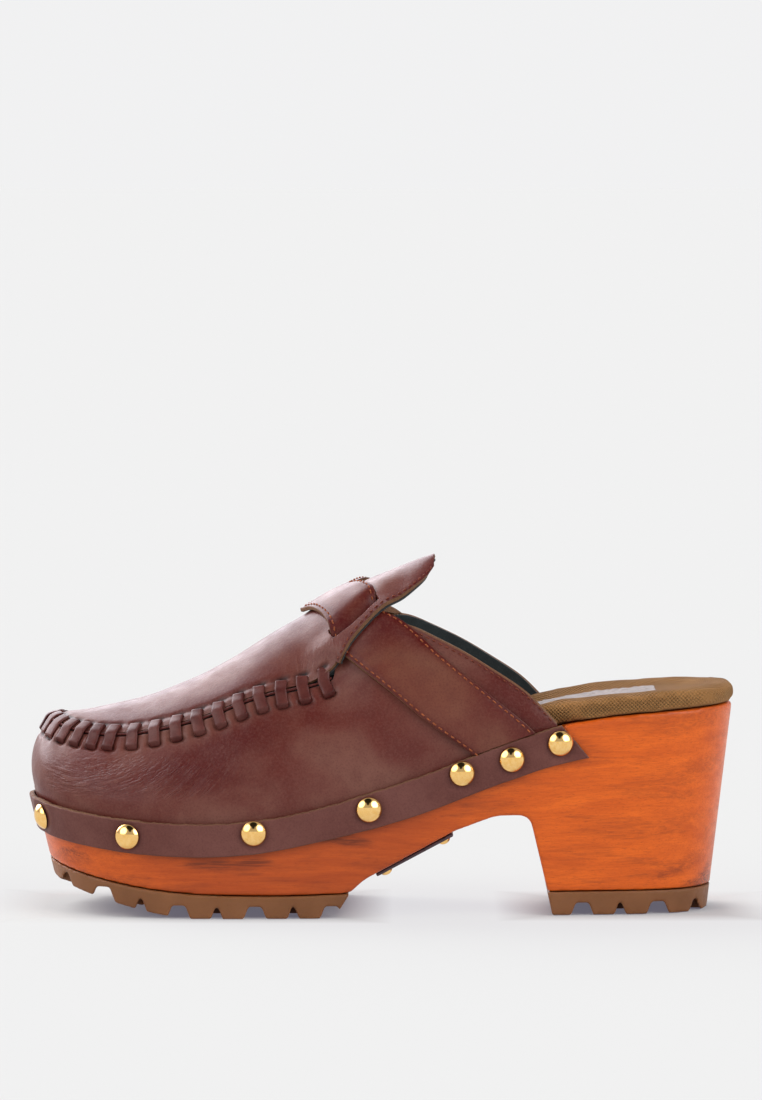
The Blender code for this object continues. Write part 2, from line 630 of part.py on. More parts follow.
def lining_top(rib):
    """The lining passes under the seam along the apron, and behind it stops just short of the topline."""
    under_seam = 0.98 + 3.5 / max(crown_length(rib), 9.0) * float(smoothstep(abs(rib), 0.8, 2.2))
    below_edge = 1 - (SEAM_GAP + 0.5) / max(wall_length(rib), 3.6)
    return under_seam + (below_edge - under_seam) * float(smoothstep(abs(rib), 9.4, 10.4))


def make_linings(nail_cutter):
    """Inside the vamp: a lining on each side, and a stiff toe puff between them."""
    depth = VAMP[1] - LINING[1]
    thick = LINING[1] - LINING[0]
    spans = {
        "lining_outer_side": (-LAST_RIB + 0.6, -4.2, 20),
        "toe_puff": (-4.1, 4.1, 19),
        "lining_inner_side": (4.2, LAST_RIB - 0.6, 20),
    }
    for name, (first, last, count) in spans.items():
        ribs = np.linspace(first, last, count)
        outer = wall_grid(ribs, [lining_top(rib) for rib in ribs], 6)
        lining = shell(name, inner_of(outer, depth), inner_of(outer, depth + thick), "lining")
        cut(lining, nail_cutter)


def apron_base(rib, across):
    """The apron and tongue before they are lifted over the strap. across runs from -1 (outer edge) to 1."""
    rib, across = np.broadcast_arrays(np.asarray(rib, float), np.asarray(across, float))
    side = np.where(across < 0, -1.0, 1.0)
    front = last_point(side * np.minimum(rib, LAST_RIB), 2 - np.abs(across))
    numbers = list(rib_numbers[:10]) + [row[0] for row in TONGUE]
    edges = rib_tops[:10] + [row[1] for row in TONGUE]
    centres = rib_crowns[:10] + [row[2] for row in TONGUE]
    power = 2.3 + 0.7 * smoothstep(rib, 9, 11) - 1.35 * smoothstep(rib, 12.5, 14.5)
    back = crown(spline(numbers, edges, rib), spline(numbers, centres, rib), side, np.abs(across), power)
    return front + (back - front) * smoothstep(rib, 8.6, 9.6)[..., None]


def tree_of(grid):
    rows, columns = grid.shape[:2]
    faces = []
    for i in range(rows - 1):
        for j in range(columns - 1):
            a = i * columns + j
            faces.append((a, a + 1, a + columns + 1, a + columns))
    return BVHTree.FromPolygons([Vector(p) for p in grid.reshape(-1, 3)], faces)


def radial_hit(tree, x, angle, reach=160.0):
    """Where a ray towards the shoe's axis first meets a surface. Angle 0 is the outer side, and 90 is up."""
    turn = math.radians(angle)
    out = Vector((0.0, -math.cos(turn), math.sin(turn)))
    hit = tree.ray_cast(Vector((x, 0.0, AXIS_Z)) + out * reach, -out)[0]
    return hit, out


def form_tree():
    ribs = np.linspace(-LAST_RIB, LAST_RIB, 145)
    heights = np.r_[-30.0, np.linspace(0, 2, 41)]
    return tree_of(np.stack([last_point(rib, heights) for rib in ribs]))


def strap_edges(angle):
    """Front and rear x of the strap at a ray angle from 0 to 180."""
    folded = np.minimum(angle, 180 - angle)
    return spline(STRAP_ANGLES, STRAP_FRONT_X, folded), spline(STRAP_ANGLES, STRAP_REAR_X, folded)


def lift_over_strap(grid, form):
    """Moves the apron's wings out so that the strap fits under them."""
    lifted = grid.copy()
    need = GAP + 0.15 + STRAP_THICK + GAP + APRON_THICK + LAYER_GAP + APRON_LINING_THICK + 1.0
    for index in np.ndindex(grid.shape[:2]):
        x, y, z = grid[index]
        angle = math.degrees(math.atan2(z - AXIS_Z, -y))
        folded = min(angle, 180 - angle)
        if folded < 20:
            continue
        front, rear = strap_edges(folded)
        near_strap = smoothstep(x, front - 7.5, front - 2.5) * smoothstep(-x, -rear - 8, -rear - 2)
        wing = 1 - smoothstep(folded, SLIT_ANGLES[0] + 1.5, SLIT_ANGLES[1] + 1.5)
        hit, out = radial_hit(form, x, angle)
        if hit is None:
            continue
        have = (Vector(grid[index]) - hit).dot(out)
        missing = max(0.0, need - have) * near_strap * wing
        lifted[index] += np.array(out) * missing
    return lifted


def toe_row(steps, form):
    """The apron's front edge, which follows the seam round the toe."""
    row = []
    for step in steps:
        seam, _, along = surface_frame(step * TOE_ROW_RIB)
        ahead = np.array([along[1], -along[0], 0.0]) / np.hypot(along[0], along[1])
        inward = ahead if ahead[0] > 0 else -ahead
        above = Vector(seam + inward * (SEAM_GAP + 0.2))
        above.z = 160.0
        row.append(np.array(form.ray_cast(above, Vector((0, 0, -1)))[0]))
    return np.array(row)


def apron_grid(form):
    """Rows from the toe seam to the tongue's tip, each from the outer edge to the inner one."""
    rows = np.r_[TOE_ROW_RIB + 0.6, np.arange(3, 9, 1.0), np.arange(9, 14, 0.42), 14.4, 15.0, 15.6, TONGUE_END]
    steps = np.sin(np.linspace(-1, 1, 15) * math.pi / 2)
    grid = [toe_row(steps, form)]
    for rib in rows:
        edge = 1.0
        if rib < 10.2:
            edge -= SEAM_GAP / crown_length(min(rib, 10.0))
        grid.append(apron_base(rib, steps * edge))
    return lift_over_strap(np.stack(grid), form)


def strap_grid(form, apron, angles, widths, out_by):
    """The strap's surface, out_by above what it lies on: the vamp at the sides, the apron between the slits."""
    rows = []
    for angle in angles:
        front, rear = strap_edges(angle)
        row = []
        for share in widths:
            x = front + (rear - front) * share
            low, out = radial_hit(form, x, angle)
            high = radial_hit(apron, x, angle)[0]
            over = smoothstep(min(angle, 180 - angle), *SLIT_ANGLES)
            base = (low - Vector((x, 0, AXIS_Z))).dot(out)
            if over > 0 and high is not None:
                base += ((high - Vector((x, 0, AXIS_Z))).dot(out) - base) * over
            row.append(np.array(Vector((x, 0, AXIS_Z)) + out * (base + out_by)))
        rows.append(row)
    return np.array(rows)


def make_apron_and_strap():
    form = form_tree()
    outer = apron_grid(form)
    apron_tree = tree_of(outer)
    middle = inner_of(outer, APRON_THICK)
    apron = shell("apron", outer, middle, "leather")
    lining_top = inner_of(outer, APRON_THICK + LAYER_GAP)[1:-1, 1:-1]
    lining_low = inner_of(outer, APRON_THICK + LAYER_GAP + APRON_LINING_THICK)[1:-1, 1:-1]
    lining = shell("apron_lining", lining_top, lining_low, "lining")
    slit_low, slit_high = SLIT_ANGLES
    half = np.r_[np.linspace(-10, slit_low - 3, 18), np.linspace(slit_low, slit_high, 5), 75.5, 80.0, 85.0, 90.0]
    angles = np.r_[half, 180 - half[-2::-1]]
    widths = np.linspace(0, 1, 4)
    rise = GAP + 0.15
    strap_low = strap_grid(form, apron_tree, angles, widths, rise)
    strap_high = strap_grid(form, apron_tree, angles, widths, rise + STRAP_THICK)
    strap = shell("saddle_strap", strap_high, strap_low, "leather")
    cut(strap, rand_zone("strap_ends"))
    wide = np.linspace(-0.045, 1.045, 3)
    slit = np.linspace(slit_low - 1.2, slit_high, 5)
    for name, span in (("outer_slit", slit), ("inner_slit", 180 - slit)):
        block_high = strap_grid(form, apron_tree, span, wide, 9.0)
        block_low = strap_grid(form, apron_tree, span, wide, -7.0)
        cutter = shell(name, block_high, block_low, None, helper=True)
        cut(apron, cutter)
        cut(lining, cutter)
    return apron_tree


def seam_places():
    """Rib numbers against distance along the seam from the toe."""
    ribs = np.linspace(0, 10.4, 400)
    seam = last_point(ribs, 1.0)
    lengths = np.r_[0, np.cumsum(np.linalg.norm(np.diff(seam, axis=0), axis=1))]
    return ribs, lengths


def surface_frame(rib):
    """A point of the seam with its outward normal and its direction."""
    step = 0.02
    point = last_point(rib, 1.0)
    along = last_point(rib + step, 1.0) - last_point(rib - step, 1.0)
    across = last_point(rib, 1 + step) - last_point(rib, 1 - step)
    normal = np.cross(along, across)
    return point, facing_out(normal, point), along / np.linalg.norm(along)


def facing_out(normal, point):
    """The unit normal, turned away from the middle of the toe box."""
    normal = normal / np.linalg.norm(normal)
    return normal if normal @ (point - np.array([point[0] * 0.7, 0.0, 45.0])) > 0 else -normal


def stitch_path(rib, apron):
    """Points of the upper from under the seam, up to it, and square over it onto the apron."""
    down, over = STITCH_REACH
    wall = [last_point(rib, height) for height in np.linspace(1 - down / wall_length(rib), 1, 3)]
    seam, _, along = surface_frame(rib)
    inward = np.cross(along, (0.0, 0.0, 1.0))
    if inward @ (np.array([seam[0] * 0.8, 0.0, 0.0]) - seam) < 0:
        inward = -inward
    landed = []
    for share in (0.5, 1.0):
        above = Vector(seam + inward / np.linalg.norm(inward) * over * share)
        above.z = 160.0
        landed.append(np.array(apron.ray_cast(above, Vector((0, 0, -1)))[0]))
    return np.array(wall + landed)


def stitch(ribs, apron):
    """One flat loop of lace over the seam between two ribs, as (outer, inner) rows of points."""
    left, right = (stitch_path(rib, apron) for rib in ribs)
    middle = (left + right) / 2
    forward = np.gradient(middle, axis=0)
    outer, inner = [], []
    for i, ahead in enumerate(forward):
        normal = facing_out(np.cross(right[i] - left[i], ahead), middle[i])
        rise = normal * (GAP + 0.25 + 0.5 * (1 - abs(i - 2) / 2))
        inner.append([left[i] + rise, right[i] + rise])
        inset = (right[i] - left[i]) * 0.1
        top = rise + normal * STITCH_THICK
        outer.append([left[i] + inset + top, right[i] - inset + top])
    return np.array(outer), np.array(inner)


def shell_faces(rows, columns):
    """The faces of shell() on their own, for pieces joined into one helper."""
    size = rows * columns
    faces = []
    for i in range(rows - 1):
        for j in range(columns - 1):
            a = i * columns + j
            faces.append((a, a + columns, a + columns + 1, a + 1))
            faces.append((size + a, size + a + 1, size + a + columns + 1, size + a + columns))
        a, b = i * columns, i * columns + columns - 1
        faces.append((a, size + a, size + a + columns, a + columns))
        faces.append((b, b + columns, size + b + columns, size + b))
    for j in range(columns - 1):
        last = (rows - 1) * columns + j
        faces.append((j, j + 1, size + j + 1, size + j))
        faces.append((last, size + last, size + last + 1, last + 1))
    return faces


def make_lace(apron):
    """One long thong: a cord laid in the seam, whipped over by flat loops."""
    ribs, lengths = seam_places()
    last = FIRST_STITCH + STITCH_PITCH * (STITCHES_PER_SIDE - 1)
    end = float(np.interp(last + STITCH_WIDTH / 2 + 0.6, lengths, ribs))
    path = np.linspace(-end, end, 81)
    rows = []
    for rib in path:
        point, normal, along = surface_frame(rib)
        side = np.cross(normal, along)
        ring = []
        for k in range(5):
            turn = 2 * math.pi * (k + 0.25) / 5
            arm = side * math.cos(turn) + normal * math.sin(turn)
            ring.append(point + normal * SEAM_CORD_RISE + arm * SEAM_CORD_RADIUS)
        rows.append(ring)
    cord = rings_of_tube(rows)
    loops = []
    for k in range(STITCHES_PER_SIDE):
        place = FIRST_STITCH + STITCH_PITCH * k
        edges = np.interp([place - STITCH_WIDTH / 2, place + STITCH_WIDTH / 2], lengths, ribs)
        for side in (-1, 1):
            outer, inner = stitch(side * edges, apron)
            points = np.concatenate([outer.reshape(-1, 3), inner.reshape(-1, 3)])
            loops.append((points, shell_faces(*outer.shape[:2])))
    lace = solid("whip_lace", *cord, "leather")
    cut(lace, joined_helper("lace_loops", loops), "UNION")


def rings_of_tube(rows):
    """Points and faces of a tube through rings of points, with flat ends."""
    count = len(rows[0])
    points = [p for ring in rows for p in ring]
    faces = [tuple(range(count))]
    for i in range(len(rows) - 1):
        for k in range(count):
            following = (k + 1) % count
            a, b = i * count, (i + 1) * count
            faces.append((a + k, a + following, b + following, b + k))
    start = (len(rows) - 1) * count
    faces.append(tuple(start + k for k in reversed(range(count))))
    return points, faces


def nail_frames():
    """Each nail's name, seat on the rand and outward axis."""
    frames = []
    for side, label in ((-1, "outer"), (1, "inner")):
        for number, (distance, rise) in enumerate(NAILS, 1):
            place = side * distance * (MEDIAL_SHARE if side > 0 else 1.0)
            x = float(outline.read(place)[0][0])
            z = (float(seat(x)) + float(rand_bottom(place))) / 2 + rise
            here = side_point(place, z, RAND[1])
            higher = side_point(place, z + 1.0, RAND[1])
            ahead = side_point(place + 0.5, z, RAND[1]) - side_point(place - 0.5, z, RAND[1])
            axis = np.cross(ahead, higher - here)
            axis /= np.linalg.norm(axis)
            if axis @ outline_normal(place) < 0:
                axis = -axis
            frames.append((f"nail_{label}_{number}", here, axis))
    return frames


def outline_normal(place):
    normal = outline.read(place)[1]
    return np.array([normal[0], normal[1], 0.0])


def dome(radius, height, segments):
    """Section of a domed head from its rim to its top."""
    ball = (radius**2 + height**2) / (2 * height)
    rim = math.asin(radius / ball)
    return [(ball * math.sin(rim * i / segments), ball * math.cos(rim * i / segments) - ball + height)
            for i in range(segments, -1, -1)]


def pin(head_radius, head_height, shank_radius, depth):
    """Section of a nail or screw, from its point to the top of its head, with the head's underside at 0."""
    tip = [(0.0, -depth), (shank_radius, -depth + 2.5), (shank_radius, 0.0)]
    head = dome(head_radius, head_height, 3)
    head[-1] = (0.0, head_height)
    return tip + head


def hole_cutter(frames, radius, depth, name):
    pieces = []
    for _, seat_point, axis in frames:
        section = [(0.0, -depth), (radius, -depth), (radius, 3.0), (0.0, 3.0)]
        pieces.append(turned(None, section, seat_point, axis, None, segments=6))
    return joined_helper(name, pieces)


def make_nails(frames):
    section = pin(NAIL_HEAD_RADIUS, NAIL_HEAD_HEIGHT, NAIL_SHANK_RADIUS, NAIL_DEPTH + GAP)
    for name, seat_point, axis in frames:
        turned(name, section, seat_point + axis * GAP, axis, "brass")


def plate_frame():
    """The shank plate's underside: a function of x, and its outward normal."""
    (x0, z0, _), (x1, z1, _) = ARCH_CORNERS[1], ARCH_CORNERS[2]
    slope = (z1 - z0) / (x1 - x0)
    normal = np.array([slope, 0.0, -1.0]) / math.hypot(slope, 1.0)
    return (lambda x: z0 + slope * (x - x0)), normal


def screw_frames():
    under, normal = plate_frame()
    frames = []
    for end, x in (("front", PLATE_X[0] + SCREW_INSET[0]), ("rear", PLATE_X[1] - SCREW_INSET[0])):
        for side, y in (("outer", PLATE_Y[0] + SCREW_INSET[1]), ("inner", PLATE_Y[1] - SCREW_INSET[1])):
            here = np.array([x, y, under(x)]) + normal * (GAP + PLATE_THICK)
            frames.append((f"plate_screw_{end}_{side}", here, normal))
    return frames


def make_shank_plate(frames, cutter):
    under, normal = plate_frame()
    corners = [np.array([x, 0.0, under(x)]) + normal * GAP for x in PLATE_X]
    lower = [corner + normal * PLATE_THICK for corner in corners]
    section = [(p[0], p[2]) for p in (corners[0], corners[1], lower[1], lower[0])]
    cut(plate("shank_plate", section, *PLATE_Y, "plate"), cutter)
    section = pin(SCREW_HEAD_RADIUS, SCREW_HEAD_HEIGHT, SCREW_SHANK_RADIUS, SCREW_DEPTH + GAP)
    for name, seat_point, axis in frames:
        turned(name, section, seat_point + axis * GAP, axis, "brass")


def build():
    clear_scene()
    nails, screws = nail_frames(), screw_frames()
    nail_cutter = hole_cutter(nails, NAIL_SHANK_RADIUS + 0.45, NAIL_DEPTH + 1.0, "nail_holes")
    screw_cutter = hole_cutter(screws, SCREW_SHANK_RADIUS + 0.45, SCREW_DEPTH + 1.0, "screw_holes")
    body = prism("wood_space")
    make_wood(body, nail_cutter, screw_cutter)
    make_outsoles(body)
    make_shank_plate(screws, screw_cutter)
    make_footbed()
    make_linings(nail_cutter)
    make_vamp(nail_cutter)
    make_lace(make_apron_and_strap())
    make_rand(nail_cutter)
    make_nails(nails)


build()
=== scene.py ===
"""The looks of the wooden clog: every visible piece is rebuilt finely from the same tables and curves that drive
the CAD solids, with rounded edges, stitches, laces, puckers and procedural materials.

Numbers are in millimetres in the design frame of the solids, and made() turns them into metres in the shared frame.
+X runs from toe to heel, -Y is the outer side, +Z is up.
"""

import math

import bmesh
import bpy
import numpy as np
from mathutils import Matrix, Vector, kdtree, noise
from mathutils.bvhtree import BVHTree


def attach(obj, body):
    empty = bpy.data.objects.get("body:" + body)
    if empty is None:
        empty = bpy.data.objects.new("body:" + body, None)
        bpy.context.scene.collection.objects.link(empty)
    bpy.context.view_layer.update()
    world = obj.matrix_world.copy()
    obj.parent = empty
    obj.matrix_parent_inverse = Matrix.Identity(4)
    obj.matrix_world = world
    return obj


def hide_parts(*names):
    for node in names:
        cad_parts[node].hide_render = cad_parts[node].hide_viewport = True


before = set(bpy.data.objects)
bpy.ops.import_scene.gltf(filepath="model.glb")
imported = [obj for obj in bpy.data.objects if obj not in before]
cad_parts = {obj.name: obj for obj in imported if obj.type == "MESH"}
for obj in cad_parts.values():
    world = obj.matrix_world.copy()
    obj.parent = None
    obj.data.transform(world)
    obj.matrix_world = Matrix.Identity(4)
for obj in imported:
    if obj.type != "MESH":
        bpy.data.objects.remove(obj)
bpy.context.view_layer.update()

MM = 0.001
GAP = 0.3  # between layers that lie on each other
CENTRE_SHIFT = (-0.115, 0.925, 0.0)  # puts the middle of the bounding box over the origin

# Plan outline of the wood at its top edge: heel, outer side, toe, inner side
OUTLINE = [
    (124.0, 0.0), (121.2, -12.5), (113.3, -23.5), (101.0, -30.5), (84.0, -33.8), (66.0, -35.8), (45.0, -38.0),
    (22.0, -40.5), (-2.0, -43.0), (-26.0, -45.0), (-50.0, -45.8), (-72.0, -44.4), (-90.0, -40.0), (-104.0, -32.5),
    (-114.5, -22.0), (-120.5, -9.5), (-122.4, 4.0), (-120.3, 17.5), (-114.0, 28.5), (-103.0, 37.5), (-88.0, 43.3),
    (-70.0, 45.8), (-50.0, 45.0), (-28.0, 41.5), (-5.0, 37.5), (18.0, 34.8), (42.0, 33.6), (66.0, 33.5),
    (84.0, 32.8), (101.0, 29.8), (113.3, 23.0), (121.2, 12.3),
]
TOE_KNOT = 16
LEAN_SIDE, LEAN_TOE, LEAN_HEEL = 0.07, 0.24, 0.12  # how far the wood's side leans out, per millimetre of height

# Side profiles, as (x, z)
SEAT_LINE = [
    (-135.0, 42.5), (-122.0, 39.3), (-112.0, 37.2), (-98.0, 35.2), (-87.0, 34.0), (-75.0, 33.2), (-60.0, 33.0),
    (-45.0, 34.0), (-28.0, 36.9), (-11.0, 41.4), (6.6, 47.0), (20.5, 51.8), (34.0, 57.0), (48.0, 62.0), (62.0, 66.3),
    (76.0, 69.0), (97.0, 71.0), (135.0, 73.4),
]
WOOD_FOREPART_LINE = [
    (-135.0, 23.5), (-118.0, 18.2), (-105.0, 14.7), (-94.0, 12.4), (-84.0, 10.7), (-73.0, 9.4), (-62.0, 8.6),
    (-48.0, 8.2), (-30.0, 8.2), (-10.8, 8.9),
]
ARCH_CORNERS = [(-10.8, 8.9, 0.0), (-5.8, 13.4, 14.0), (25.5, 30.1, 30.0), (40.0, 35.3, 16.0), (51.8, 35.3, 4.5)]
BREAST_FOOT = (58.2, 8.5)
HEEL_RUBBER_FOOT = (59.9, 0.0)
TREAD_LINE = [
    (-135.0, 19.0), (-121.0, 14.0), (-113.0, 10.8), (-107.0, 8.9), (-100.0, 6.8), (-94.0, 5.2), (-83.0, 2.5),
    (-74.0, 0.8), (-67.0, 0.0),
]
FOREPART_END = [(-16.6, 0.0), (-14.2, 3.2), (-10.9, 8.5)]

# Tread: wide grooves and narrow side cuts take turns along the sole
GROOVE_DEPTH = 4.2
WIDE_GROOVE = (3.9, 2.25)  # half widths at the ground and at the groove's roof
NARROW_GROOVE = (2.0, 0.45)
FOREPART_GROOVES = [-97.0, -70.4, -43.8, -17.2]
HEEL_GROOVES = [70.4, 97.0]
FOREPART_CUTS = [-110.3, -83.7, -57.1, -30.5]
HEEL_CUTS = [83.7, 110.3]
SIDE_LUG_LENGTH = 14.0
CHANNEL_WIDTH = 2.6

# Layers of the upper, as distances outside the wood's side
PRISM_LEVELS = (-6.0, 12.0, 27.0, 41.0, 96.0)
REBATE = -3.7
LINING = (-3.4, -2.7)
VAMP = (-2.1, -0.3)
RAND = (0.3, 2.2)
APRON_THICK, APRON_LINING_THICK = 1.5, 0.95
LAYER_GAP = 0.2
STRAP_THICK = 1.6
STRAP_RISE = 0.45  # the strap lies this far above the leather under it
RAND_TOP_END, RAND_TIP_END = 62.8, 72.6
REBATE_END, REBATE_FLOOR = 63.6, 2.2  # its rear end, and its floor above the rand's lower edge
RAND_WIDTH_TOE, RAND_WIDTH_WAIST = 11.2, 13.0
RAND_ABOVE_SEAT = 0.3

# Ribs of the upper from toe (0) to heel end (18): where the rib starts on the outline, as a distance from the toe
# tip, the wall's top edge as (x, half width, z), and the crown over it as (x, z)
RIBS = [
    (0.0, (-117.6, 0.0, 67.0), (-117.6, 67.0)),
    (15.0, (-115.2, 9.0, 65.9), (-115.6, 67.9)),
    (30.5, (-111.0, 14.8, 64.5), (-111.5, 68.6)),
    (45.0, (-104.5, 20.0, 63.2), (-105.0, 69.2)),
    (56.0, (-96.5, 24.2, 62.6), (-97.0, 70.7)),
    (68.6, (-86.0, 27.3, 63.3), (-86.5, 73.1)),
    (83.0, (-73.0, 29.6, 66.0), (-73.5, 77.4)),
    (99.0, (-58.0, 30.8, 70.6), (-58.5, 84.4)),
    (115.0, (-43.5, 31.2, 76.2), (-44.5, 92.6)),
    (131.0, (-27.6, 30.9, 79.7), (-31.5, 100.6)),
    (145.0, (-15.0, 29.8, 84.8), (-20.5, 105.0)),
    (157.0, (-5.5, 26.6, 96.6), (-11.5, 108.4)),
    (169.0, (5.5, 25.6, 102.8), (-1.0, 110.6)),
    (180.0, (17.0, 29.6, 99.3), (9.0, 111.5)),
    (189.0, (29.0, 32.8, 93.4), (20.0, 110.0)),
    (196.5, (40.0, 34.4, 86.8), (32.0, 106.0)),
    (202.5, (49.5, 35.1, 80.5), (43.0, 100.0)),
    (207.2, (56.0, 35.4, 74.4), (51.0, 93.0)),
    (211.2, (61.4, 35.3, 68.6), (58.0, 87.0)),
]
LAST_RIB = 18
MEDIAL_SHARE = 0.982  # the inner side of the outline is this much shorter
MEDIAL_TAPER = 0.07  # and its topline lies this much nearer the middle at the waist
TOE_OFFSET = 4.0  # the toe tip lies this far towards the big toe

# The apron runs on past the lacing as a tongue: rib number, edge as (x, half width, z), centre as (x, z)
TONGUE = [
    (10.0, (-16.6, 32.0, 86.2), (-20.5, 107.6)),
    (11.0, (-11.4, 29.4, 94.4), (-14.2, 110.8)),
    (12.0, (-5.5, 27.0, 101.2), (-7.6, 114.0)),
    (13.0, (-0.3, 25.0, 106.8), (-0.8, 117.0)),
    (14.0, (5.6, 22.0, 110.6), (6.4, 120.0)),
    (15.0, (12.8, 16.2, 115.4), (13.4, 122.9)),
    (15.6, (17.0, 11.0, 118.6), (16.9, 124.2)),
    (16.0, (18.8, 6.8, 120.9), (18.8, 124.8)),
]
TONGUE_END = 16
TOE_ROW_RIB = 1.5
CREASE_CENTRE = (-105.0, 92.5)  # x and z of the middle of the toe's creases
TOPLINE_SEW, STRAP_SEW, TONGUE_SEW = 3.0, 1.7, 1.5  # from the edges in to their stitches
UPPER_FOOT = -8.4  # the vamp and linings reach this far down behind the rand
PUCKER_DEPTH = 0.34
LINING_DROP = -0.3  # the lining stands this far below the topline

# Saddle strap: rays at these angles round the axis at AXIS_Z meet its front and rear edges at these x
AXIS_Z = 60.0
STRAP_ANGLES = [-12.0, -3.5, 10.5, 22.2, 34.4, 45.8, 55.0, 65.0, 73.0, 80.0, 90.0]
STRAP_FRONT_X = [37.5, 31.2, 17.0, 6.6, -3.8, -12.5, -17.0, -19.8, -22.6, -25.0, -28.6]
STRAP_REAR_X = [60.5, 58.6, 50.9, 40.2, 28.6, 18.3, 10.3, 0.2, -2.8, -5.6, -9.5]
SLIT_FRONT_ANGLE, SLIT_REAR_ANGLE, SLIT_HALF_ANGLE = 57.0, 69.5, 2.3

# Lacing, nails and shank plate
TOE_STITCHES, TOE_PITCH = 6, 6.0  # the loops on each side of the toe's middle one lie closer
SIDE_STITCHES, SIDE_PITCH = 10, 7.72
STITCH_WIDTH, STITCH_THICK = 4.6, 1.1
STITCH_REACH = (6.4, 4.6)  # down the wall, and over the apron
STITCH_POINTS = 9  # on each side of the seam
SEAM_CORD_RADIUS, SEAM_CORD_RISE = 0.7, 0.25
SEAM_GAP = 0.85
HOLE_AHEAD = 0.15  # the hole in the apron shows past the thong's end
UNDER_WING = 7.0  # how far the vamp reaches up behind the tongue's wings
NAILS = [(20.5, 0.3), (61.0, 0.2), (105.0, 1.8), (145.0, 1.0), (177.5, 2.4), (195.0, 0.7), (212.0, 0.9)]
NAIL_HEAD_RADIUS, NAIL_HEAD_HEIGHT = 4.5, 2.5
NAIL_SHANK_RADIUS, NAIL_DEPTH = 0.9, 9.0
PLATE_X, PLATE_Y, PLATE_THICK = (-2.0, 24.6), (-37.0, 31.5), 1.2
SCREW_INSET = (3.2, 4.0)
SCREW_HEAD_RADIUS, SCREW_HEAD_HEIGHT, SCREW_SHANK_RADIUS, SCREW_DEPTH = 2.1, 1.4, 0.8, 8.0

# Footbed: rings of its section, as (inset from its outline, height as a share of its edge height)
FOOTBED_RINGS = [
    (0.5, 0.0), (-0.2, 0.25), (-0.4, 0.5), (0.3, 0.78), (2.0, 0.96), (4.2, 1.0), (7.2, 0.90), (11.5, 0.58),
]
FOOTBED_HEIGHT_FRONT, FOOTBED_HEIGHT_HEEL = 7.0, 7.4
FOOTBED_SWELL, FOOTBED_SWELL_X, FOOTBED_SWELL_REACH = 1.5, 50.0, 18.0  # it stands higher where the arch begins
FOOTBED_INSET_FRONT, FOOTBED_OVERHANG_HEEL = 4.2, 0.5
SWELL_ROOM, SWELL_CAP, SWELL_PRESSURE = 0.25, 0.55, 4.0  # the pad starts this much smaller and swells as cloth
SOCK_X, SOCK_HALF_WIDTH, SOCK_THICK = (22.0, 97.0), 14.0, 0.35

# How solids are made: profiles run past the shoe and are cut back, then remeshed at these sizes
PAST_END, PAST_SIDES = 130.0, (-70.0, 70.0)
CUTTER_BELOW = 6.0  # groove cutters start this far under the tread
WOOD_VOXEL, RUBBER_VOXEL, PAD_VOXEL = 0.8, 0.58, 1.7
SLIT_CUTTER = (9.0, -7.0)  # its outer and inner side, from what the strap lies on
SLOT_HALF_SIZES = (3.0, 0.28, 0.55)  # of the slot in a screw's head

# The view: a long lens level with the shoe's side, looking down a little
CAMERA_LENS, CAMERA_PLACE, CAMERA_DIP = 212.6, (0.0, -2289.4, 265.5), 3.489


def spline(knots, values, at):
    """Reads a natural cubic spline through values at knots."""
    knots = np.asarray(knots, float)
    values = np.asarray(values, float)
    flat = values.reshape(len(knots), -1)
    step = np.diff(knots)
    count = len(knots)
    system = np.eye(count)
    right = np.zeros_like(flat)
    for i in range(1, count - 1):
        system[i, i - 1 : i + 2] = step[i - 1], 2 * (step[i - 1] + step[i]), step[i]
        rise = (flat[i + 1] - flat[i]) / step[i]
        right[i] = 6 * (rise - (flat[i] - flat[i - 1]) / step[i - 1])
    bend = np.linalg.solve(system, right)
    at = np.asarray(at, float)
    places = at.ravel()
    i = np.clip(np.searchsorted(knots, places) - 1, 0, count - 2)
    width = step[i][:, None]
    after = ((places - knots[i]) / step[i])[:, None]
    before = 1 - after
    curve = (before**3 - before) * bend[i] + (after**3 - after) * bend[i + 1]
    read = before * flat[i] + after * flat[i + 1] + curve * width**2 / 6
    return read.reshape(at.shape + values.shape[1:])


def smoothstep(value, low, high):
    share = np.clip((np.asarray(value, float) - low) / (high - low), 0, 1)
    return share * share * (3 - 2 * share)


def bell(value, middle, width, power=2):
    """1 at the middle, falling to nothing on both sides of it."""
    return np.exp(-(((value - middle) / width) ** power))


def unit(vectors):
    return vectors / np.linalg.norm(vectors, axis=-1, keepdims=True)


def lengths_along(line):
    """How far along a line each of its points lies."""
    return np.r_[0, np.cumsum(np.linalg.norm(np.diff(line, axis=0), axis=1))]


def read_along(at, steps, rows):
    """Rows of numbers, such as points, read at distances along the line they belong to."""
    return np.stack([np.interp(at, steps, rows[:, i]) for i in range(rows.shape[1])], axis=-1)


def circle(count, radius):
    turn = np.linspace(0, 2 * math.pi, count, endpoint=False)
    return np.stack([np.cos(turn), np.sin(turn)], axis=1) * radius


def profile(points):
    """A side profile as a function that gives z at x."""
    xs, zs = zip(*points)
    return lambda x: spline(xs, zs, x)


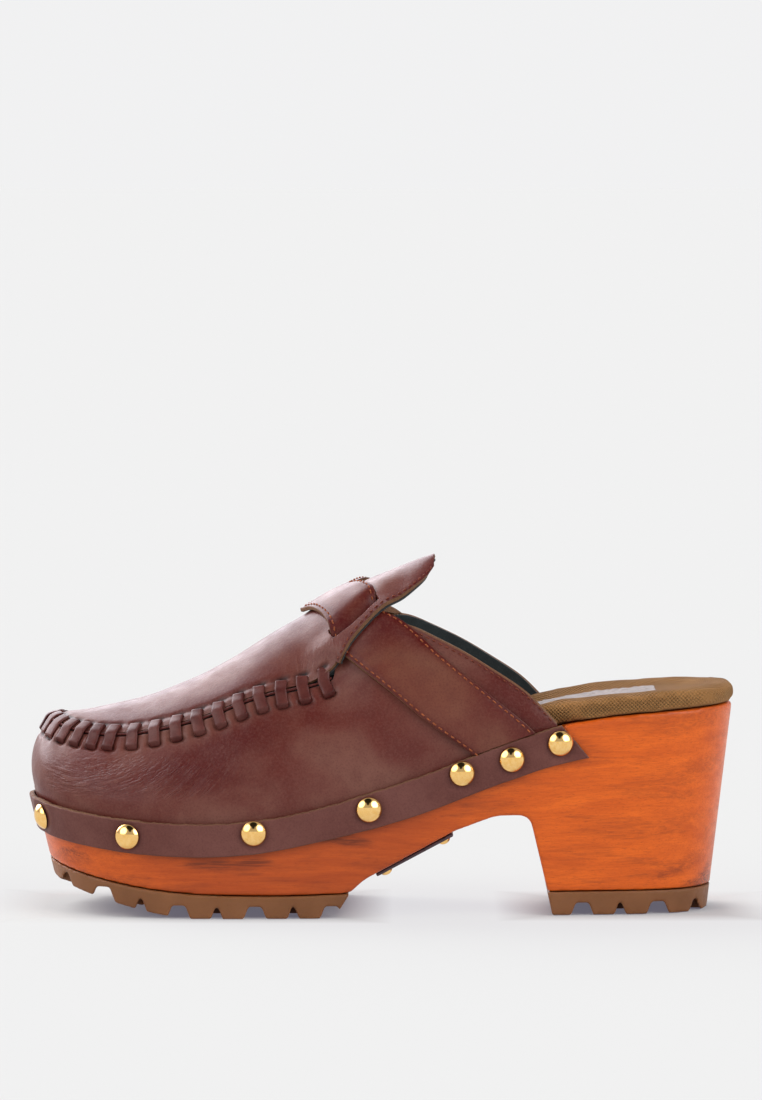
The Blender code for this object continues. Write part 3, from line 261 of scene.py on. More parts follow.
def rounded(corners, segments=6):
    """A polyline of (x, z, radius) corners with each one rounded to its radius."""
    points = [corners[0][:2]]
    for before, corner, after in zip(corners, corners[1:], corners[2:]):
        middle = np.array(corner[:2])
        back = np.array(before[:2]) - middle
        ahead = np.array(after[:2]) - middle
        back /= np.linalg.norm(back)
        ahead /= np.linalg.norm(ahead)
        half = math.acos(np.clip(back @ ahead, -1, 1)) / 2
        reach = corner[2] / math.tan(half)
        centre = middle + (back + ahead) / np.linalg.norm(back + ahead) * corner[2] / math.sin(half)
        start, end = middle + back * reach - centre, middle + ahead * reach - centre
        for i in range(segments + 1):
            arm = start + (end - start) * i / segments
            points.append(tuple(centre + arm / np.linalg.norm(arm) * corner[2]))
    points.append(corners[-1][:2])
    return points


seat = profile(SEAT_LINE)
wood_bottom = profile(WOOD_FOREPART_LINE)
tread = profile(TREAD_LINE)


class Outline:
    """The plan outline, read by its distance from the toe tip: negative on the outer side, positive inside."""

    def __init__(self, points, toe_knot):
        wrapped = np.array(points[-3:] + points + points[:3], float)
        knots = lengths_along(wrapped)
        self.points = spline(knots, wrapped, np.linspace(knots[3], knots[-3], 2001))
        lengths = lengths_along(self.points)
        self.length = lengths[-1]
        toe_tip = np.array(points[toe_knot])
        toe = lengths[np.argmin(np.linalg.norm(self.points - toe_tip, axis=1))]
        self.outer_end = -toe
        self.places = lengths - toe
        tangent = unit(np.gradient(self.points, self.places, axis=0))
        self.normals = np.stack([-tangent[:, 1], tangent[:, 0]], axis=1)
        if self.normals[0][0] < 0:
            self.normals = -self.normals

    def read(self, place):
        """Points and outward normals at distances from the toe tip."""
        wrapped = (np.asarray(place, float) - self.outer_end) % self.length + self.outer_end
        return read_along(wrapped, self.places, self.points), unit(read_along(wrapped, self.places, self.normals))

    def x_at(self, place):
        return self.read(place)[0][..., 0]

    def place_of_x(self, x, side):
        """The distance from the toe tip at which the outer (-1) or inner (1) side passes x."""
        half = (self.places < 0) if side < 0 else (self.places > 0)
        xs, places = self.points[half, 0], self.places[half]
        order = np.argsort(xs)
        return float(np.interp(x, xs[order], places[order]))

    def places_to_x(self, x, count):
        """Places from x on the outer side, round the toe, to x on the inner side."""
        return np.linspace(self.place_of_x(x, -1), self.place_of_x(x, 1), count)


outline = Outline(OUTLINE, TOE_KNOT)


def side_point(place, z, out=0.0):
    """A point on the wood's leaning side, moved out from it by a distance."""
    point, normal = outline.read(place)
    z = np.asarray(z, float) + np.zeros(point.shape[:-1])
    lean = LEAN_SIDE + (LEAN_TOE - LEAN_SIDE) * np.maximum(0, -normal[..., 0]) ** 2
    lean += (LEAN_HEEL - LEAN_SIDE) * np.maximum(0, normal[..., 0]) ** 2
    moved = point + normal * (out + lean * (z - seat(point[..., 0])))[..., None]
    return np.concatenate([moved, z[..., None]], axis=-1)


def rand_bottom_at(x):
    """Height of the rand's lower edge."""
    return seat(x) - RAND_WIDTH_TOE - (RAND_WIDTH_WAIST - RAND_WIDTH_TOE) * smoothstep(x, -30, 15)


def centre_y(x):
    """The upper's middle line bends towards the big toe."""
    return TOE_OFFSET * smoothstep(-np.asarray(x, float), 55, 120)


rib_numbers = np.arange(len(RIBS), dtype=float)
rib_bases = [rib[0] for rib in RIBS]
rib_tops = [rib[1] for rib in RIBS]
rib_crowns = [rib[2] for rib in RIBS]


def crown(edge, centre, side, across, power):
    """A point from the edge (across 1) over to the crown line (across 0)."""
    x = centre[..., 0] + (edge[..., 0] - centre[..., 0]) * across**2
    z = edge[..., 2] + (centre[..., 1] - edge[..., 2]) * (1 - across**power)
    return np.stack([x, centre_y(x) + side * edge[..., 1] * across, z], axis=-1)


def last_point(rib, height):
    """The upper's outer surface. rib is negative on the outer side; height runs from 0 at the wood's top edge to 1
    at the wall's top edge and 2 on the crown line, and below 0 it goes down behind the rand, in millimetres."""
    rib, height = np.broadcast_arrays(np.asarray(rib, float), np.asarray(height, float))
    side = np.where(rib < 0, -1.0, 1.0)
    number = np.abs(rib)
    share = np.where(side > 0, MEDIAL_SHARE, 1.0)
    place = side * spline(rib_numbers, rib_bases, number) * share
    point, normal = outline.read(place)
    base_z = seat(point[..., 0])
    base = side_point(place, base_z + np.minimum(height, 0), VAMP[1])
    top = spline(rib_numbers, rib_tops, number)
    top[..., 1] *= np.where(side > 0, 1 - MEDIAL_TAPER * smoothstep(number, 8, 15), 1.0)
    top_point = np.stack([top[..., 0], centre_y(top[..., 0]) + side * top[..., 1], top[..., 2]], axis=-1)
    length = np.linalg.norm(top_point - base, axis=-1)[..., None]
    out = np.concatenate([normal, np.zeros(normal.shape[:-1] + (1,))], axis=-1)
    up = np.array([0.0, 0.0, 1.0])
    toeness = np.maximum(0, -normal[..., 0])[..., None]
    rear = smoothstep(number, 9, 14)[..., None]
    first = base + (out * (0.14 + 0.16 * toeness) + up) * 0.4 * length
    second = top_point + (out * (0.6 - 0.42 * rear) - up * (0.8 + 0.1 * rear)) * 0.35 * length
    t = np.clip(height, 0, 1)[..., None]
    wall = (1 - t) ** 3 * base + 3 * (1 - t) ** 2 * t * first + 3 * (1 - t) * t**2 * second + t**3 * top_point
    over = crown(top, spline(rib_numbers, rib_crowns, number), side, np.clip(2 - height, 0, 1), 2.3)
    return np.where(height[..., None] > 1, over, wall)


def grid_normals(grid, outside):
    """Unit normals of a grid of points, turned away from the point outside is measured from."""
    normal = np.cross(np.gradient(grid, axis=0), np.gradient(grid, axis=1))
    normal /= np.maximum(np.linalg.norm(normal, axis=-1, keepdims=True), 1e-9)
    wrong = np.einsum("ijk,ijk->ij", normal, grid - outside) < 0
    normal[wrong] *= -1
    return normal


def on_axis(x, z):
    """Points in the shoe's middle plane."""
    return np.stack([x, np.zeros_like(x), np.full(np.shape(x), z)], axis=-1)


def out_of_shoe(grid):
    """Unit normals of a grid of the upper's points, turned outwards."""
    return grid_normals(grid, on_axis(grid[..., 0] * 0.75 + 8, 52.0))


def inner_of(grid, depth):
    """The same grid moved a distance into the shoe."""
    return grid - out_of_shoe(grid) * depth


def side_distances(grid):
    """How far across its row each point of a grid lies, and how far it is from the nearer end of the row."""
    span = np.linalg.norm(np.diff(grid, axis=1), axis=2)
    left = np.concatenate([np.zeros((len(grid), 1)), np.cumsum(span, axis=1)], axis=1)
    return left, np.minimum(left, left[:, -1:] - left)


def with_values(grid, *values):
    """The grid with more numbers after each point's x, y and z."""
    return np.concatenate([grid] + [np.broadcast_to(value, grid.shape[:2])[..., None] for value in values], axis=-1)


# ---- Meshes


def made(name, points, faces, material=None, sharp=50.0, values=None):
    """An object from points in millimetres, with per-point values for its material to read."""
    mesh = bpy.data.meshes.new(name)
    placed = (np.asarray(points, float) + np.array(CENTRE_SHIFT)) * MM
    mesh.from_pydata(placed.tolist(), [], [tuple(f) for f in faces])
    work = bmesh.new()
    work.from_mesh(mesh)
    bmesh.ops.recalc_face_normals(work, faces=work.faces)
    work.to_mesh(mesh)
    work.free()
    mesh.shade_smooth()
    if sharp:
        mesh.set_sharp_from_angle(angle=math.radians(sharp))
    thing = bpy.data.objects.new(name, mesh)
    bpy.context.scene.collection.objects.link(thing)
    if material:
        mesh.materials.append(material)
    for key, data in (values or {}).items():
        store(thing, key, data)
    return thing


def store(thing, key, data):
    """Writes one number per point, for the material to read by name."""
    layer = thing.data.attributes.get(key) or thing.data.attributes.new(key, "FLOAT", "POINT")
    layer.data.foreach_set("value", np.asarray(data, np.float32).ravel())


def points_of(thing):
    """The mesh's points in millimetres of the design frame."""
    flat = np.zeros(len(thing.data.vertices) * 3)
    thing.data.vertices.foreach_get("co", flat)
    return flat.reshape(-1, 3) / MM - np.array(CENTRE_SHIFT)


def set_points(thing, points):
    flat = (np.asarray(points) + np.array(CENTRE_SHIFT)) * MM
    thing.data.vertices.foreach_set("co", flat.ravel())
    thing.data.update()


def baked(thing, sharp=None):
    """Applies every modifier."""
    graph = bpy.context.evaluated_depsgraph_get()
    mesh = bpy.data.meshes.new_from_object(thing.evaluated_get(graph))
    thing.modifiers.clear()
    old = thing.data
    thing.data = mesh
    bpy.data.meshes.remove(old)
    mesh.shade_smooth()
    if sharp:
        mesh.set_sharp_from_angle(angle=math.radians(sharp))
    return thing


def remove(*things):
    for thing in things:
        bpy.data.objects.remove(thing, do_unlink=True)


def cut_now(thing, *cutters, operation="DIFFERENCE", keep=False):
    """Cuts a closed mesh with others, and removes them unless they are to be kept."""
    for cutter in cutters:
        step = thing.modifiers.new("Cut", "BOOLEAN")
        step.operation, step.solver, step.object = operation, "MANIFOLD", cutter
    baked(thing)
    if not keep:
        remove(*cutters)
    return thing


def rounded_solid(thing, voxel, rounds):
    """Remeshes a solid finely and eases its edges."""
    step = thing.modifiers.new("Even", "REMESH")
    step.mode, step.voxel_size = "VOXEL", voxel * MM
    ease = thing.modifiers.new("Ease", "SMOOTH")
    ease.factor, ease.iterations = 0.5, rounds
    return baked(thing)


def grid_faces(rows, columns, start=0, flip=False):
    i, j = np.meshgrid(np.arange(rows - 1), np.arange(columns - 1), indexing="ij")
    a = (i * columns + j).ravel() + start
    quads = np.stack([a, a + 1, a + columns + 1, a + columns], axis=1)
    return quads[:, ::-1] if flip else quads


def shell_faces(rows, columns):
    """The faces of a closed sheet whose two sides are grids of points."""
    size = rows * columns
    index = np.arange(size).reshape(rows, columns)
    ring = np.r_[index[0, :-1], index[:-1, -1], index[-1, :0:-1], index[:0:-1, 0]]
    after = np.roll(ring, -1)
    wall = np.stack([ring, ring + size, after + size, after], axis=1)
    return np.concatenate([grid_faces(rows, columns), grid_faces(rows, columns, size, True), wall])


def shell(name, outer, inner):
    """A closed sheet between two grids of points."""
    points = np.concatenate([outer.reshape(-1, 3), inner.reshape(-1, 3)])
    return made(name, points, shell_faces(*outer.shape[:2]))


def wall_round(name, places, outs, low, high):
    """A closed wall that stands along the outline between two distances out from the wood's side."""
    return shell(name, *(np.stack([side_point(places, z, out) for z in (low, high)], axis=1) for out in outs))


def edge_rows(grid, reach, radius):
    """Adds rows close to the first and last row of a grid, at steps of a rounded edge. reach holds each point's
    distance from the nearest edge so far."""
    steps = (0.0, 0.12, 0.45, 1.0)
    for _ in range(2):
        first, second = grid[0], grid[1]
        length = np.linalg.norm((second - first)[:, :3], axis=1)
        added, distances = [], []
        for step in steps:
            share = np.minimum(step * radius / np.maximum(length, 1e-6), 0.92)[:, None]
            added.append(first + (second - first) * share)
            near = reach[0] + (reach[1] - reach[0]) * share[:, 0]
            distances.append(np.minimum(near, step * radius))
        grid = np.concatenate([np.array(added), grid[1:]])[::-1]
        reach = np.concatenate([np.array(distances), reach[1:]])[::-1]
    return grid, reach


def skin(name, grid, thick, material, radius=0.45, paint=None):
    """A sheet of some thickness under a grid of outer points, with rounded edges. Numbers after x, y, z in the
    grid go along with its points, and paint(grid) turns the whole into named values for the material."""
    grid, reach = edge_rows(grid, np.full(grid.shape[:2], 99.0), radius)
    grid, reach = edge_rows(grid.transpose(1, 0, 2), reach.T, radius)
    grid, reach = grid.transpose(1, 0, 2), reach.T
    place = grid[..., :3]
    normal = out_of_shoe(place)
    inside = np.clip(radius - reach, 0, radius)
    sink = (radius - np.sqrt(np.maximum(radius**2 - inside**2, 0)))[..., None]
    outer, inner = place - normal * sink, place - normal * (thick - sink)
    raw = np.clip(inside / radius, 0, 1) ** 3
    values = {key: np.concatenate([data.ravel()] * 2) for key, data in (paint(grid) if paint else {}).items()}
    values["raw"] = np.concatenate([raw.ravel(), np.maximum(raw, 1.0).ravel()])
    points = np.concatenate([outer.reshape(-1, 3), inner.reshape(-1, 3)])
    return made(name, points, shell_faces(*grid.shape[:2]), material, values=values)


def rings(name, stack, material=None):
    """A closed solid through rings of equal counts, each end closed by a ladder across the ring."""
    count, levels = len(stack[0]), len(stack)
    i = np.arange(count)
    j = (i + 1) % count
    faces = []
    for level in range(levels - 1):
        low, high = level * count, (level + 1) * count
        faces += np.stack([low + i, low + j, high + j, high + i], axis=1).tolist()
    half = count // 2
    for start in (0, (levels - 1) * count):
        faces.append((start, start + 1, start + count - 1))
        for k in range(1, half - 1):
            faces.append((start + k, start + k + 1, start + count - k - 1, start + count - k))
        faces.append((start + half - 1, start + half, start + half + 1))
    return made(name, np.concatenate(stack), faces, material)


def plate(name, outline_xz, y_low, y_high, material=None):
    """A side profile, a closed list of (x, z), extruded across the shoe."""
    count = len(outline_xz)
    points = [(x, y, z) for y in (y_low, y_high) for x, z in outline_xz]
    faces = [tuple(range(count)), tuple(range(2 * count - 1, count - 1, -1))]
    faces += [(i, (i + 1) % count, count + (i + 1) % count, count + i) for i in range(count)]
    thing = made(name, points, faces, material)
    work = bmesh.new()
    work.from_mesh(thing.data)
    bmesh.ops.triangulate(work, faces=[f for f in work.faces if len(f.verts) > 4])
    work.to_mesh(thing.data)
    work.free()
    return thing


def tube(path, side, up, section, sizes):
    """Points and faces of a closed tube: section points (across, up) at each path point, scaled by sizes."""
    count = len(section)
    rows = [p + (s * section[:, :1] + u * section[:, 1:]) * size for p, s, u, size in zip(path, side, up, sizes)]
    index = np.arange(count)
    after = (index + 1) % count
    faces = [tuple(index[::-1])]
    for i in range(len(path) - 1):
        a, b = i * count, (i + 1) * count
        faces += np.stack([a + index, a + after, b + after, b + index], axis=1).tolist()
    faces.append(tuple((len(path) - 1) * count + index))
    return np.concatenate(rows), faces


def joined(name, pieces, material, sharp=60.0):
    """One object from several (points, faces) pieces."""
    points, faces, start = [], [], 0
    for piece_points, piece_faces in pieces:
        points.append(np.asarray(piece_points))
        faces += [tuple(int(i) + start for i in face) for face in piece_faces]
        start += len(piece_points)
    return made(name, np.concatenate(points), faces, material, sharp)


def superellipse(width, height, power=0.55, count=16):
    ring = circle(count, 1.0)
    return np.sign(ring) * abs(ring) ** power * (width, height) / 2


def lumps(points, scale, seed=0.0, octaves=3):
    """Smooth noise from -1 to 1 at points, with features about scale millimetres across."""
    shift = Vector((seed, seed * 1.7, -seed))
    flat = np.asarray(points, float).reshape(-1, np.shape(points)[-1]) / scale
    read = [noise.fractal(Vector(p[:3]) + shift, 0.9, 2.0, octaves) for p in flat.tolist()]
    return np.array(read).reshape(np.shape(points)[:-1])


def blurred(field, rounds):
    """A field of numbers on a grid, evened out with its neighbours."""
    for _ in range(rounds):
        for axis in (0, 1):
            padded = np.concatenate([field.take([0], axis), field, field.take([-1], axis)], axis)
            size = field.shape[axis]
            low, mid, high = (padded.take(range(k, k + size), axis) for k in (0, 1, 2))
            field = (low + 2 * mid + high) / 4
    return field


def tree_of(grid):
    points = [Vector(p) for p in grid.reshape(-1, 3).tolist()]
    return BVHTree.FromPolygons(points, grid_faces(*grid.shape[:2]).tolist())


# ---- Materials


class Nodes:
    """Adds nodes to the tree of a material or of the sky."""

    def __init__(self, tree):
        self.tree = tree

    def fill(self, socket, value):
        """Feeds a socket from another one, or sets it to a number, a vector or a colour."""
        if isinstance(value, bpy.types.NodeSocket):
            self.tree.links.new(value, socket)
        else:
            socket.default_value = (*value, 1.0) if socket.type == "RGBA" else value

    def node(self, kind, inputs=(), **settings):
        made_node = self.tree.nodes.new("ShaderNode" + kind)
        for key, value in settings.items():
            setattr(made_node, key, value)
        for socket, value in dict(inputs).items():
            self.fill(made_node.inputs[socket], value)
        return made_node

    def spread(self, value, low, high, to_low=0.0, to_high=1.0, **settings):
        return self.node("MapRange", {"Value": value, "From Min": low, "From Max": high, "To Min": to_low,
                                      "To Max": to_high}, **settings).outputs[0]

    def mix(self, share, a, b):
        return self.node("Mix", {0: share, 6: a, 7: b}, data_type="RGBA").outputs[2]


class Look(Nodes):
    """A procedural material, built node by node. Sizes are in millimetres of the object's own space."""

    def __init__(self, name, **sockets):
        self.material = bpy.data.materials.new(name)
        self.material.use_nodes = True
        super().__init__(self.material.node_tree)
        self.shader = self.tree.nodes["Principled BSDF"]
        for socket, value in sockets.items():
            self.set(socket.replace("_", " "), value)

    def set(self, socket, value):
        self.fill(self.shader.inputs[socket], value)

    def space(self, size):
        """Object coordinates divided by a size in millimetres, or by one each along x, y and z."""
        sizes = size if isinstance(size, tuple) else (size,) * 3
        coords = self.node("TexCoord").outputs["Object"]
        return self.node("Mapping", {"Vector": coords, "Scale": [1 / (MM * s) for s in sizes]}).outputs[0]

    def noise(self, size, detail=4.0, rough=0.55, bend=0.0):
        """Noise with features of a size, or read at coordinates from another node."""
        vector = size if isinstance(size, bpy.types.NodeSocket) else self.space(size)
        return self.node("TexNoise", {"Vector": vector, "Scale": 1.0, "Detail": detail, "Roughness": rough,
                                      "Distortion": bend}).outputs["Fac"]

    def value(self, name):
        """A number that the piece stores at its points."""
        return self.node("Attribute", attribute_name=name).outputs["Fac"]

    def math(self, operation, a, b=0.0, clamp=False):
        return self.node("Math", {0: a, 1: b}, operation=operation, use_clamp=clamp).outputs[0]

    def add(self, a, b, clamp=False):
        return self.math("ADD", a, b, clamp)

    def times(self, a, b):
        return self.math("MULTIPLY", a, b)

    def between(self, field, low, high, a, b):
        """Runs from one colour to another as a field rises from low to high."""
        return self.mix(self.spread(field, low, high), a, b)

    def tint(self, colour, field, low, high, share, tone):
        """Mixes a tone in as a field rises from low to high, up to a share."""
        return self.mix(self.spread(field, low, high, 0.0, share), colour, tone)

    def bump(self, height, distance, strength=1.0, below=None):
        inputs = {"Height": height, "Distance": distance * MM, "Strength": strength}
        if below is not None:
            inputs["Normal"] = below
        return self.node("Bump", inputs).outputs["Normal"]


def leather_look(name, mid, deep, light, shine, grain=0.11, creases=0.0):
    """Finished leather: darker where a piece's "deep" value says, which holds rubbed darkening as well as painted
    shade, pale on raw cut edges.
    """
    look = Look(name, Roughness=shine, Coat_Weight=0.08, Coat_Roughness=0.22, Specular_IOR_Level=0.16)
    cloud = look.noise((34, 34, 26), 3.0, 0.5, 0.6)
    mottle = look.noise(5.5, 4.0, 0.6)
    cells = look.node("TexVoronoi", {"Vector": look.space(0.62), "Scale": 1.0}, feature="SMOOTH_F1")
    pores = cells.outputs["Distance"]
    colour = look.between(cloud, 0.4, 0.66, mid, light)
    # the deep tone comes in by the stored value, which holds rubbed darkening, painted shade and painted dark
    # reflection, and by random clouds
    rub_and_shade = look.add(look.value("deep"), look.spread(cloud, 0.56, 0.34, 0.0, 0.45), clamp=True)
    colour = look.mix(rub_and_shade, colour, deep)
    colour = look.tint(colour, mottle, 0.35, 0.7, 0.35, shaded(mid, 0.72))
    colour = look.tint(colour, look.noise(0.9, 2.0, 0.7), 0.42, 0.70, 0.30, light)
    colour = look.mix(look.spread(pores, 0.1, 0.45, 0.22, 0.0), colour, shaded(deep, 0.45))
    raw = look.mix(look.noise(0.5, 3.0, 0.7), (0.050, 0.020, 0.010), (0.25, 0.125, 0.065))
    colour = look.mix(look.value("raw"), colour, raw)
    # painted shade in the lace holes
    colour = look.mix(look.value("dark"), colour, (0.006, 0.003, 0.003))
    if creases:
        place = look.node("CombineXYZ", {0: look.value("crease_u"), 1: look.value("crease_v")}).outputs[0]
        fold = look.noise(place, 3.0, 0.55, 0.1)
        line = look.spread(look.math("ABSOLUTE", look.math("SUBTRACT", fold, 0.5)), 0.0, 0.13)
        line = look.times(look.math("SUBTRACT", 1.0, line), look.value("crease"))
        # painted shade along the crease lines
        colour = look.mix(look.times(line, 0.42), colour, deep)
    look.set("Base Color", colour)
    rough = look.spread(mottle, 0.3, 0.7, shine - 0.05, shine + 0.10)
    look.set("Roughness", look.add(rough, look.times(look.value("raw"), 0.4), clamp=True))
    fine = look.noise(0.85, 5.0, 0.6, 0.3)
    normal = look.bump(look.noise(9.0, 2.0, 0.5), 0.55, 0.5)
    normal = look.bump(look.add(look.times(fine, 0.6), look.times(pores, 0.5)), grain, 0.8, normal)
    if creases:
        normal = look.bump(line, -creases, 1.0, normal)
    look.set("Normal", normal)
    return look.material


def shaded(colour, share):
    return tuple(c * share for c in colour)


def wood_look():
    """Stained wood with its grain along the shoe. One stored value darkens and cools it as painted shade, and another
    adds stains and painted shade under the rand.
    """
    look = Look("stained wood", Roughness=0.38, Coat_Weight=0.14, Coat_Roughness=0.16, Specular_IOR_Level=0.2)
    wave = look.noise((90, 30, 30), 2.0, 0.5)
    shift = look.node("CombineXYZ", {2: look.times(wave, 5.0)}).outputs[0]
    bent = look.node("VectorMath", {0: look.space((70, 8.0, 3.6)), 1: shift}, operation="ADD").outputs[0]
    figure = look.noise(bent, 6.0, 0.66, 0.25)
    streak = look.noise((16, 1.1, 0.62), 5.0, 0.65, 0.2)
    pore = look.noise((2.2, 0.45, 0.22), 3.0, 0.65)
    ray = look.noise((1.4, 1.2, 0.9), 4.0, 0.7)
    blotch = look.noise((34, 20, 9), 5.0, 0.6, 0.5)
    # a lit and a shaded copy of the wood, for painted shade
    lit_wood = look.between(figure, 0.3, 0.7, (0.52, 0.080, 0.0050), (0.72, 0.132, 0.0085))
    shaded_wood = look.between(figure, 0.3, 0.7, (0.29, 0.043, 0.0060), (0.45, 0.077, 0.0090))
    colour = look.mix(look.value("shade"), lit_wood, shaded_wood)
    for field, low, high, share, tone in (
        (streak, 0.46, 0.72, 0.34, (0.30, 0.040, 0.005)),
        (blotch, 0.50, 0.74, 0.26, (0.27, 0.036, 0.006)),
        (ray, 0.55, 0.75, 0.30, (0.30, 0.040, 0.006)),
        (pore, 0.56, 0.74, 0.60, (0.17, 0.024, 0.005)),
    ):
        colour = look.tint(colour, field, low, high, share, tone)
    # stains, and painted shade under the rand, from the stored value
    grime_and_shade = look.times(look.value("stain_and_shade"), look.spread(streak, 0.38, 0.60, 0.25, 1.0))
    look.set("Base Color", look.mix(grime_and_shade, colour, (0.080, 0.016, 0.007)))
    look.set("Roughness", look.spread(figure, 0.3, 0.7, 0.42, 0.32))
    look.set("Normal", look.bump(pore, 0.05, 0.7, look.bump(streak, 0.12, 0.5)))
    return look.material


def rubber_look():
    look = Look("gum rubber", Roughness=0.5, Specular_IOR_Level=0.3, Subsurface_Weight=0.22,
                Subsurface_Scale=0.004, Subsurface_Radius=(1.0, 0.45, 0.12))
    cloud = look.noise(18, 3.0, 0.5)
    speck = look.noise(1.1, 3.0, 0.6)
    colour = look.between(cloud, 0.35, 0.65, (0.150, 0.056, 0.017), (0.195, 0.076, 0.026))
    look.set("Base Color", look.tint(colour, speck, 0.55, 0.75, 0.25, (0.12, 0.042, 0.015)))
    look.set("Roughness", look.spread(speck, 0.3, 0.7, 0.42, 0.6))
    look.set("Normal", look.bump(speck, 0.05, 0.6))
    return look.material


def weave(look, pitch):
    """The height of a woven cloth, read across whichever pair of axes the surface faces."""
    facing = look.node("SeparateXYZ", {0: look.node("TexCoord").outputs["Normal"]}).outputs
    wobble = look.times(look.noise(7.0, 2.0, 0.5), 0.8)
    place = look.node("SeparateXYZ", {0: look.space(pitch)}).outputs
    bars = [look.math("SINE", look.times(look.add(line, wobble), math.sqrt(2) * math.pi)) for line in place]
    total = 0.0
    for axis, (a, b) in enumerate(((1, 2), (0, 2), (0, 1))):
        share = look.math("POWER", look.math("ABSOLUTE", facing[axis]), 4.0)
        total = look.add(total, look.times(share, look.times(bars[a], bars[b])))
    return total


def canvas_look():
    look = Look("canvas", Roughness=0.92, Specular_IOR_Level=0.15, Sheen_Weight=0.12, Sheen_Roughness=0.5,
                Sheen_Tint=(0.75, 0.60, 0.40))
    cloth = weave(look, 0.95)
    fibre = look.noise(0.35, 3.0, 0.7)
    cloud = look.noise((15, 15, 6), 3.0, 0.5)
    colour = look.between(cloud, 0.35, 0.65, (0.235, 0.104, 0.030), (0.315, 0.146, 0.046))
    colour = look.mix(look.spread(cloth, -0.6, 0.25, 0.8, 0.0), colour, (0.062, 0.030, 0.009))
    look.set("Base Color", look.tint(colour, fibre, 0.45, 0.75, 0.35, (0.42, 0.28, 0.13)))
    look.set("Normal", look.bump(fibre, 0.12, 0.5, look.bump(cloth, 0.42, 1.0)))
    return look.material


def cloth_look(name, dark, light, roughness, size):
    """Felt or thin cloth with fibres of a size, brown where a piece's "raw_edge" value says."""
    look = Look(name, Roughness=roughness, Sheen_Weight=0.15, Sheen_Roughness=0.5)
    fibre = look.noise(size, 5.0, 0.7)
    cloud = look.noise(size * 9, 3.0, 0.5)
    colour = look.between(fibre, 0.3, 0.7, dark, light)
    colour = look.tint(colour, cloud, 0.4, 0.7, 0.5, shaded(dark, 0.6))
    raw = look.between(fibre, 0.35, 0.6, (0.045, 0.022, 0.012), (0.20, 0.11, 0.06))
    look.set("Base Color", look.mix(look.value("raw_edge"), colour, raw))
    look.set("Normal", look.bump(fibre, size * 0.3, 0.7, look.bump(cloud, size * 0.8, 0.4)))
    return look.material


def brass_look():
    look = Look("brass", Metallic=1.0, Roughness=0.08)
    scuff = look.noise(1.3, 4.0, 0.6)
    look.set("Base Color", look.between(scuff, 0.35, 0.7, (0.98, 0.64, 0.25), (0.93, 0.54, 0.16)))
    look.set("Roughness", look.spread(scuff, 0.3, 0.75, 0.04, 0.11))
    look.set("Normal", look.bump(look.noise(2.6, 2.0, 0.5), 0.012, 0.5))
    return look.material


def plate_look():
    look = Look("coated board", Roughness=0.45)
    mark = look.noise((9, 3, 3), 4.0, 0.6)
    look.set("Base Color", look.between(mark, 0.35, 0.7, (0.030, 0.012, 0.016), (0.075, 0.032, 0.040)))
    look.set("Roughness", look.spread(mark, 0.3, 0.7, 0.36, 0.6))
    look.set("Normal", look.bump(look.noise(0.8, 4.0, 0.6), 0.04, 0.6))
    return look.material


def thread_look(name, dark, light):
    look = Look(name, Roughness=0.6, Specular_IOR_Level=0.2)
    ply = look.noise(0.35, 2.0, 0.6)
    look.set("Base Color", look.between(ply, 0.35, 0.65, dark, light))
    look.set("Normal", look.bump(ply, 0.06, 0.8))
    return look.material


SKY_TONE, HORIZON, HORIZON_BAND = (0.50, 0.50, 0.54), (0.88, 0.88, 0.885), (0.10, 0.20)
FLOOR_RADIUS, FLOOR_Z = 60.0, -0.0002  # in metres
FLOOR_TONE = (0.104, 0.110, 0.089)
FLOOR_GLOW = (0.700, 0.693, 0.722)
# Near the treads the floor is paler and hardly glows, so that it looks like open floor but takes shadows
SHADED_TONE, SHADED_GLOW, SHADED_REACH = (0.439, 0.450, 0.411), (0.120, 0.115, 0.150), 20.0
TREAD_FEET = [((-118.0, -16.0), 34.0), ((60.0, 120.0), 27.0)]  # each tread's x range and half width
# Soft boxes: direction of the middle, angles of the bright part and of its edge, and the light's colour
SOFT_BOXES = [
    ((-0.60, 0.62, 0.58), 15, 33, (7.6, 7.4, 7.8)),
    ((-0.25, 0.90, 0.36), 10, 26, (4.4, 4.3, 4.6)),
    ((-0.80, -0.55, 0.55), 15, 30, (3.7, 3.6, 3.6)),
    ((0.82, -0.58, 0.50), 15, 29, (4.8, 4.8, 4.9)),
    ((0.0, -0.80, 0.60), 5, 13, (0.03, 0.03, 0.03)),
    ((0.0, -0.45, 0.89), 19, 27, (0.02, 0.02, 0.02)),
]


def floor_look():
    """Open floor glows evenly. Near the treads it takes the light instead, so the shoe's shadows show."""
    look = Look("studio floor", Roughness=1.0, Specular_IOR_Level=0.0, Emission_Strength=1.0)
    x, y, _ = look.node("SeparateXYZ", {0: look.space(1.0)}).outputs
    near = 0.0
    for (start, end), half in TREAD_FEET:
        off_middle = look.math("ABSOLUTE", look.math("SUBTRACT", x, (start + end) / 2))
        along = look.math("SUBTRACT", off_middle, (end - start) / 2)
        across = look.math("SUBTRACT", look.math("ABSOLUTE", y), half)
        foot = look.spread(look.math("MAXIMUM", along, across), 0.0, SHADED_REACH, 1.0, 0.0)
        near = look.math("MAXIMUM", near, foot)
    look.set("Base Color", look.mix(near, FLOOR_TONE, SHADED_TONE))
    look.set("Emission Color", look.mix(near, FLOOR_GLOW, SHADED_GLOW))
    return look.material


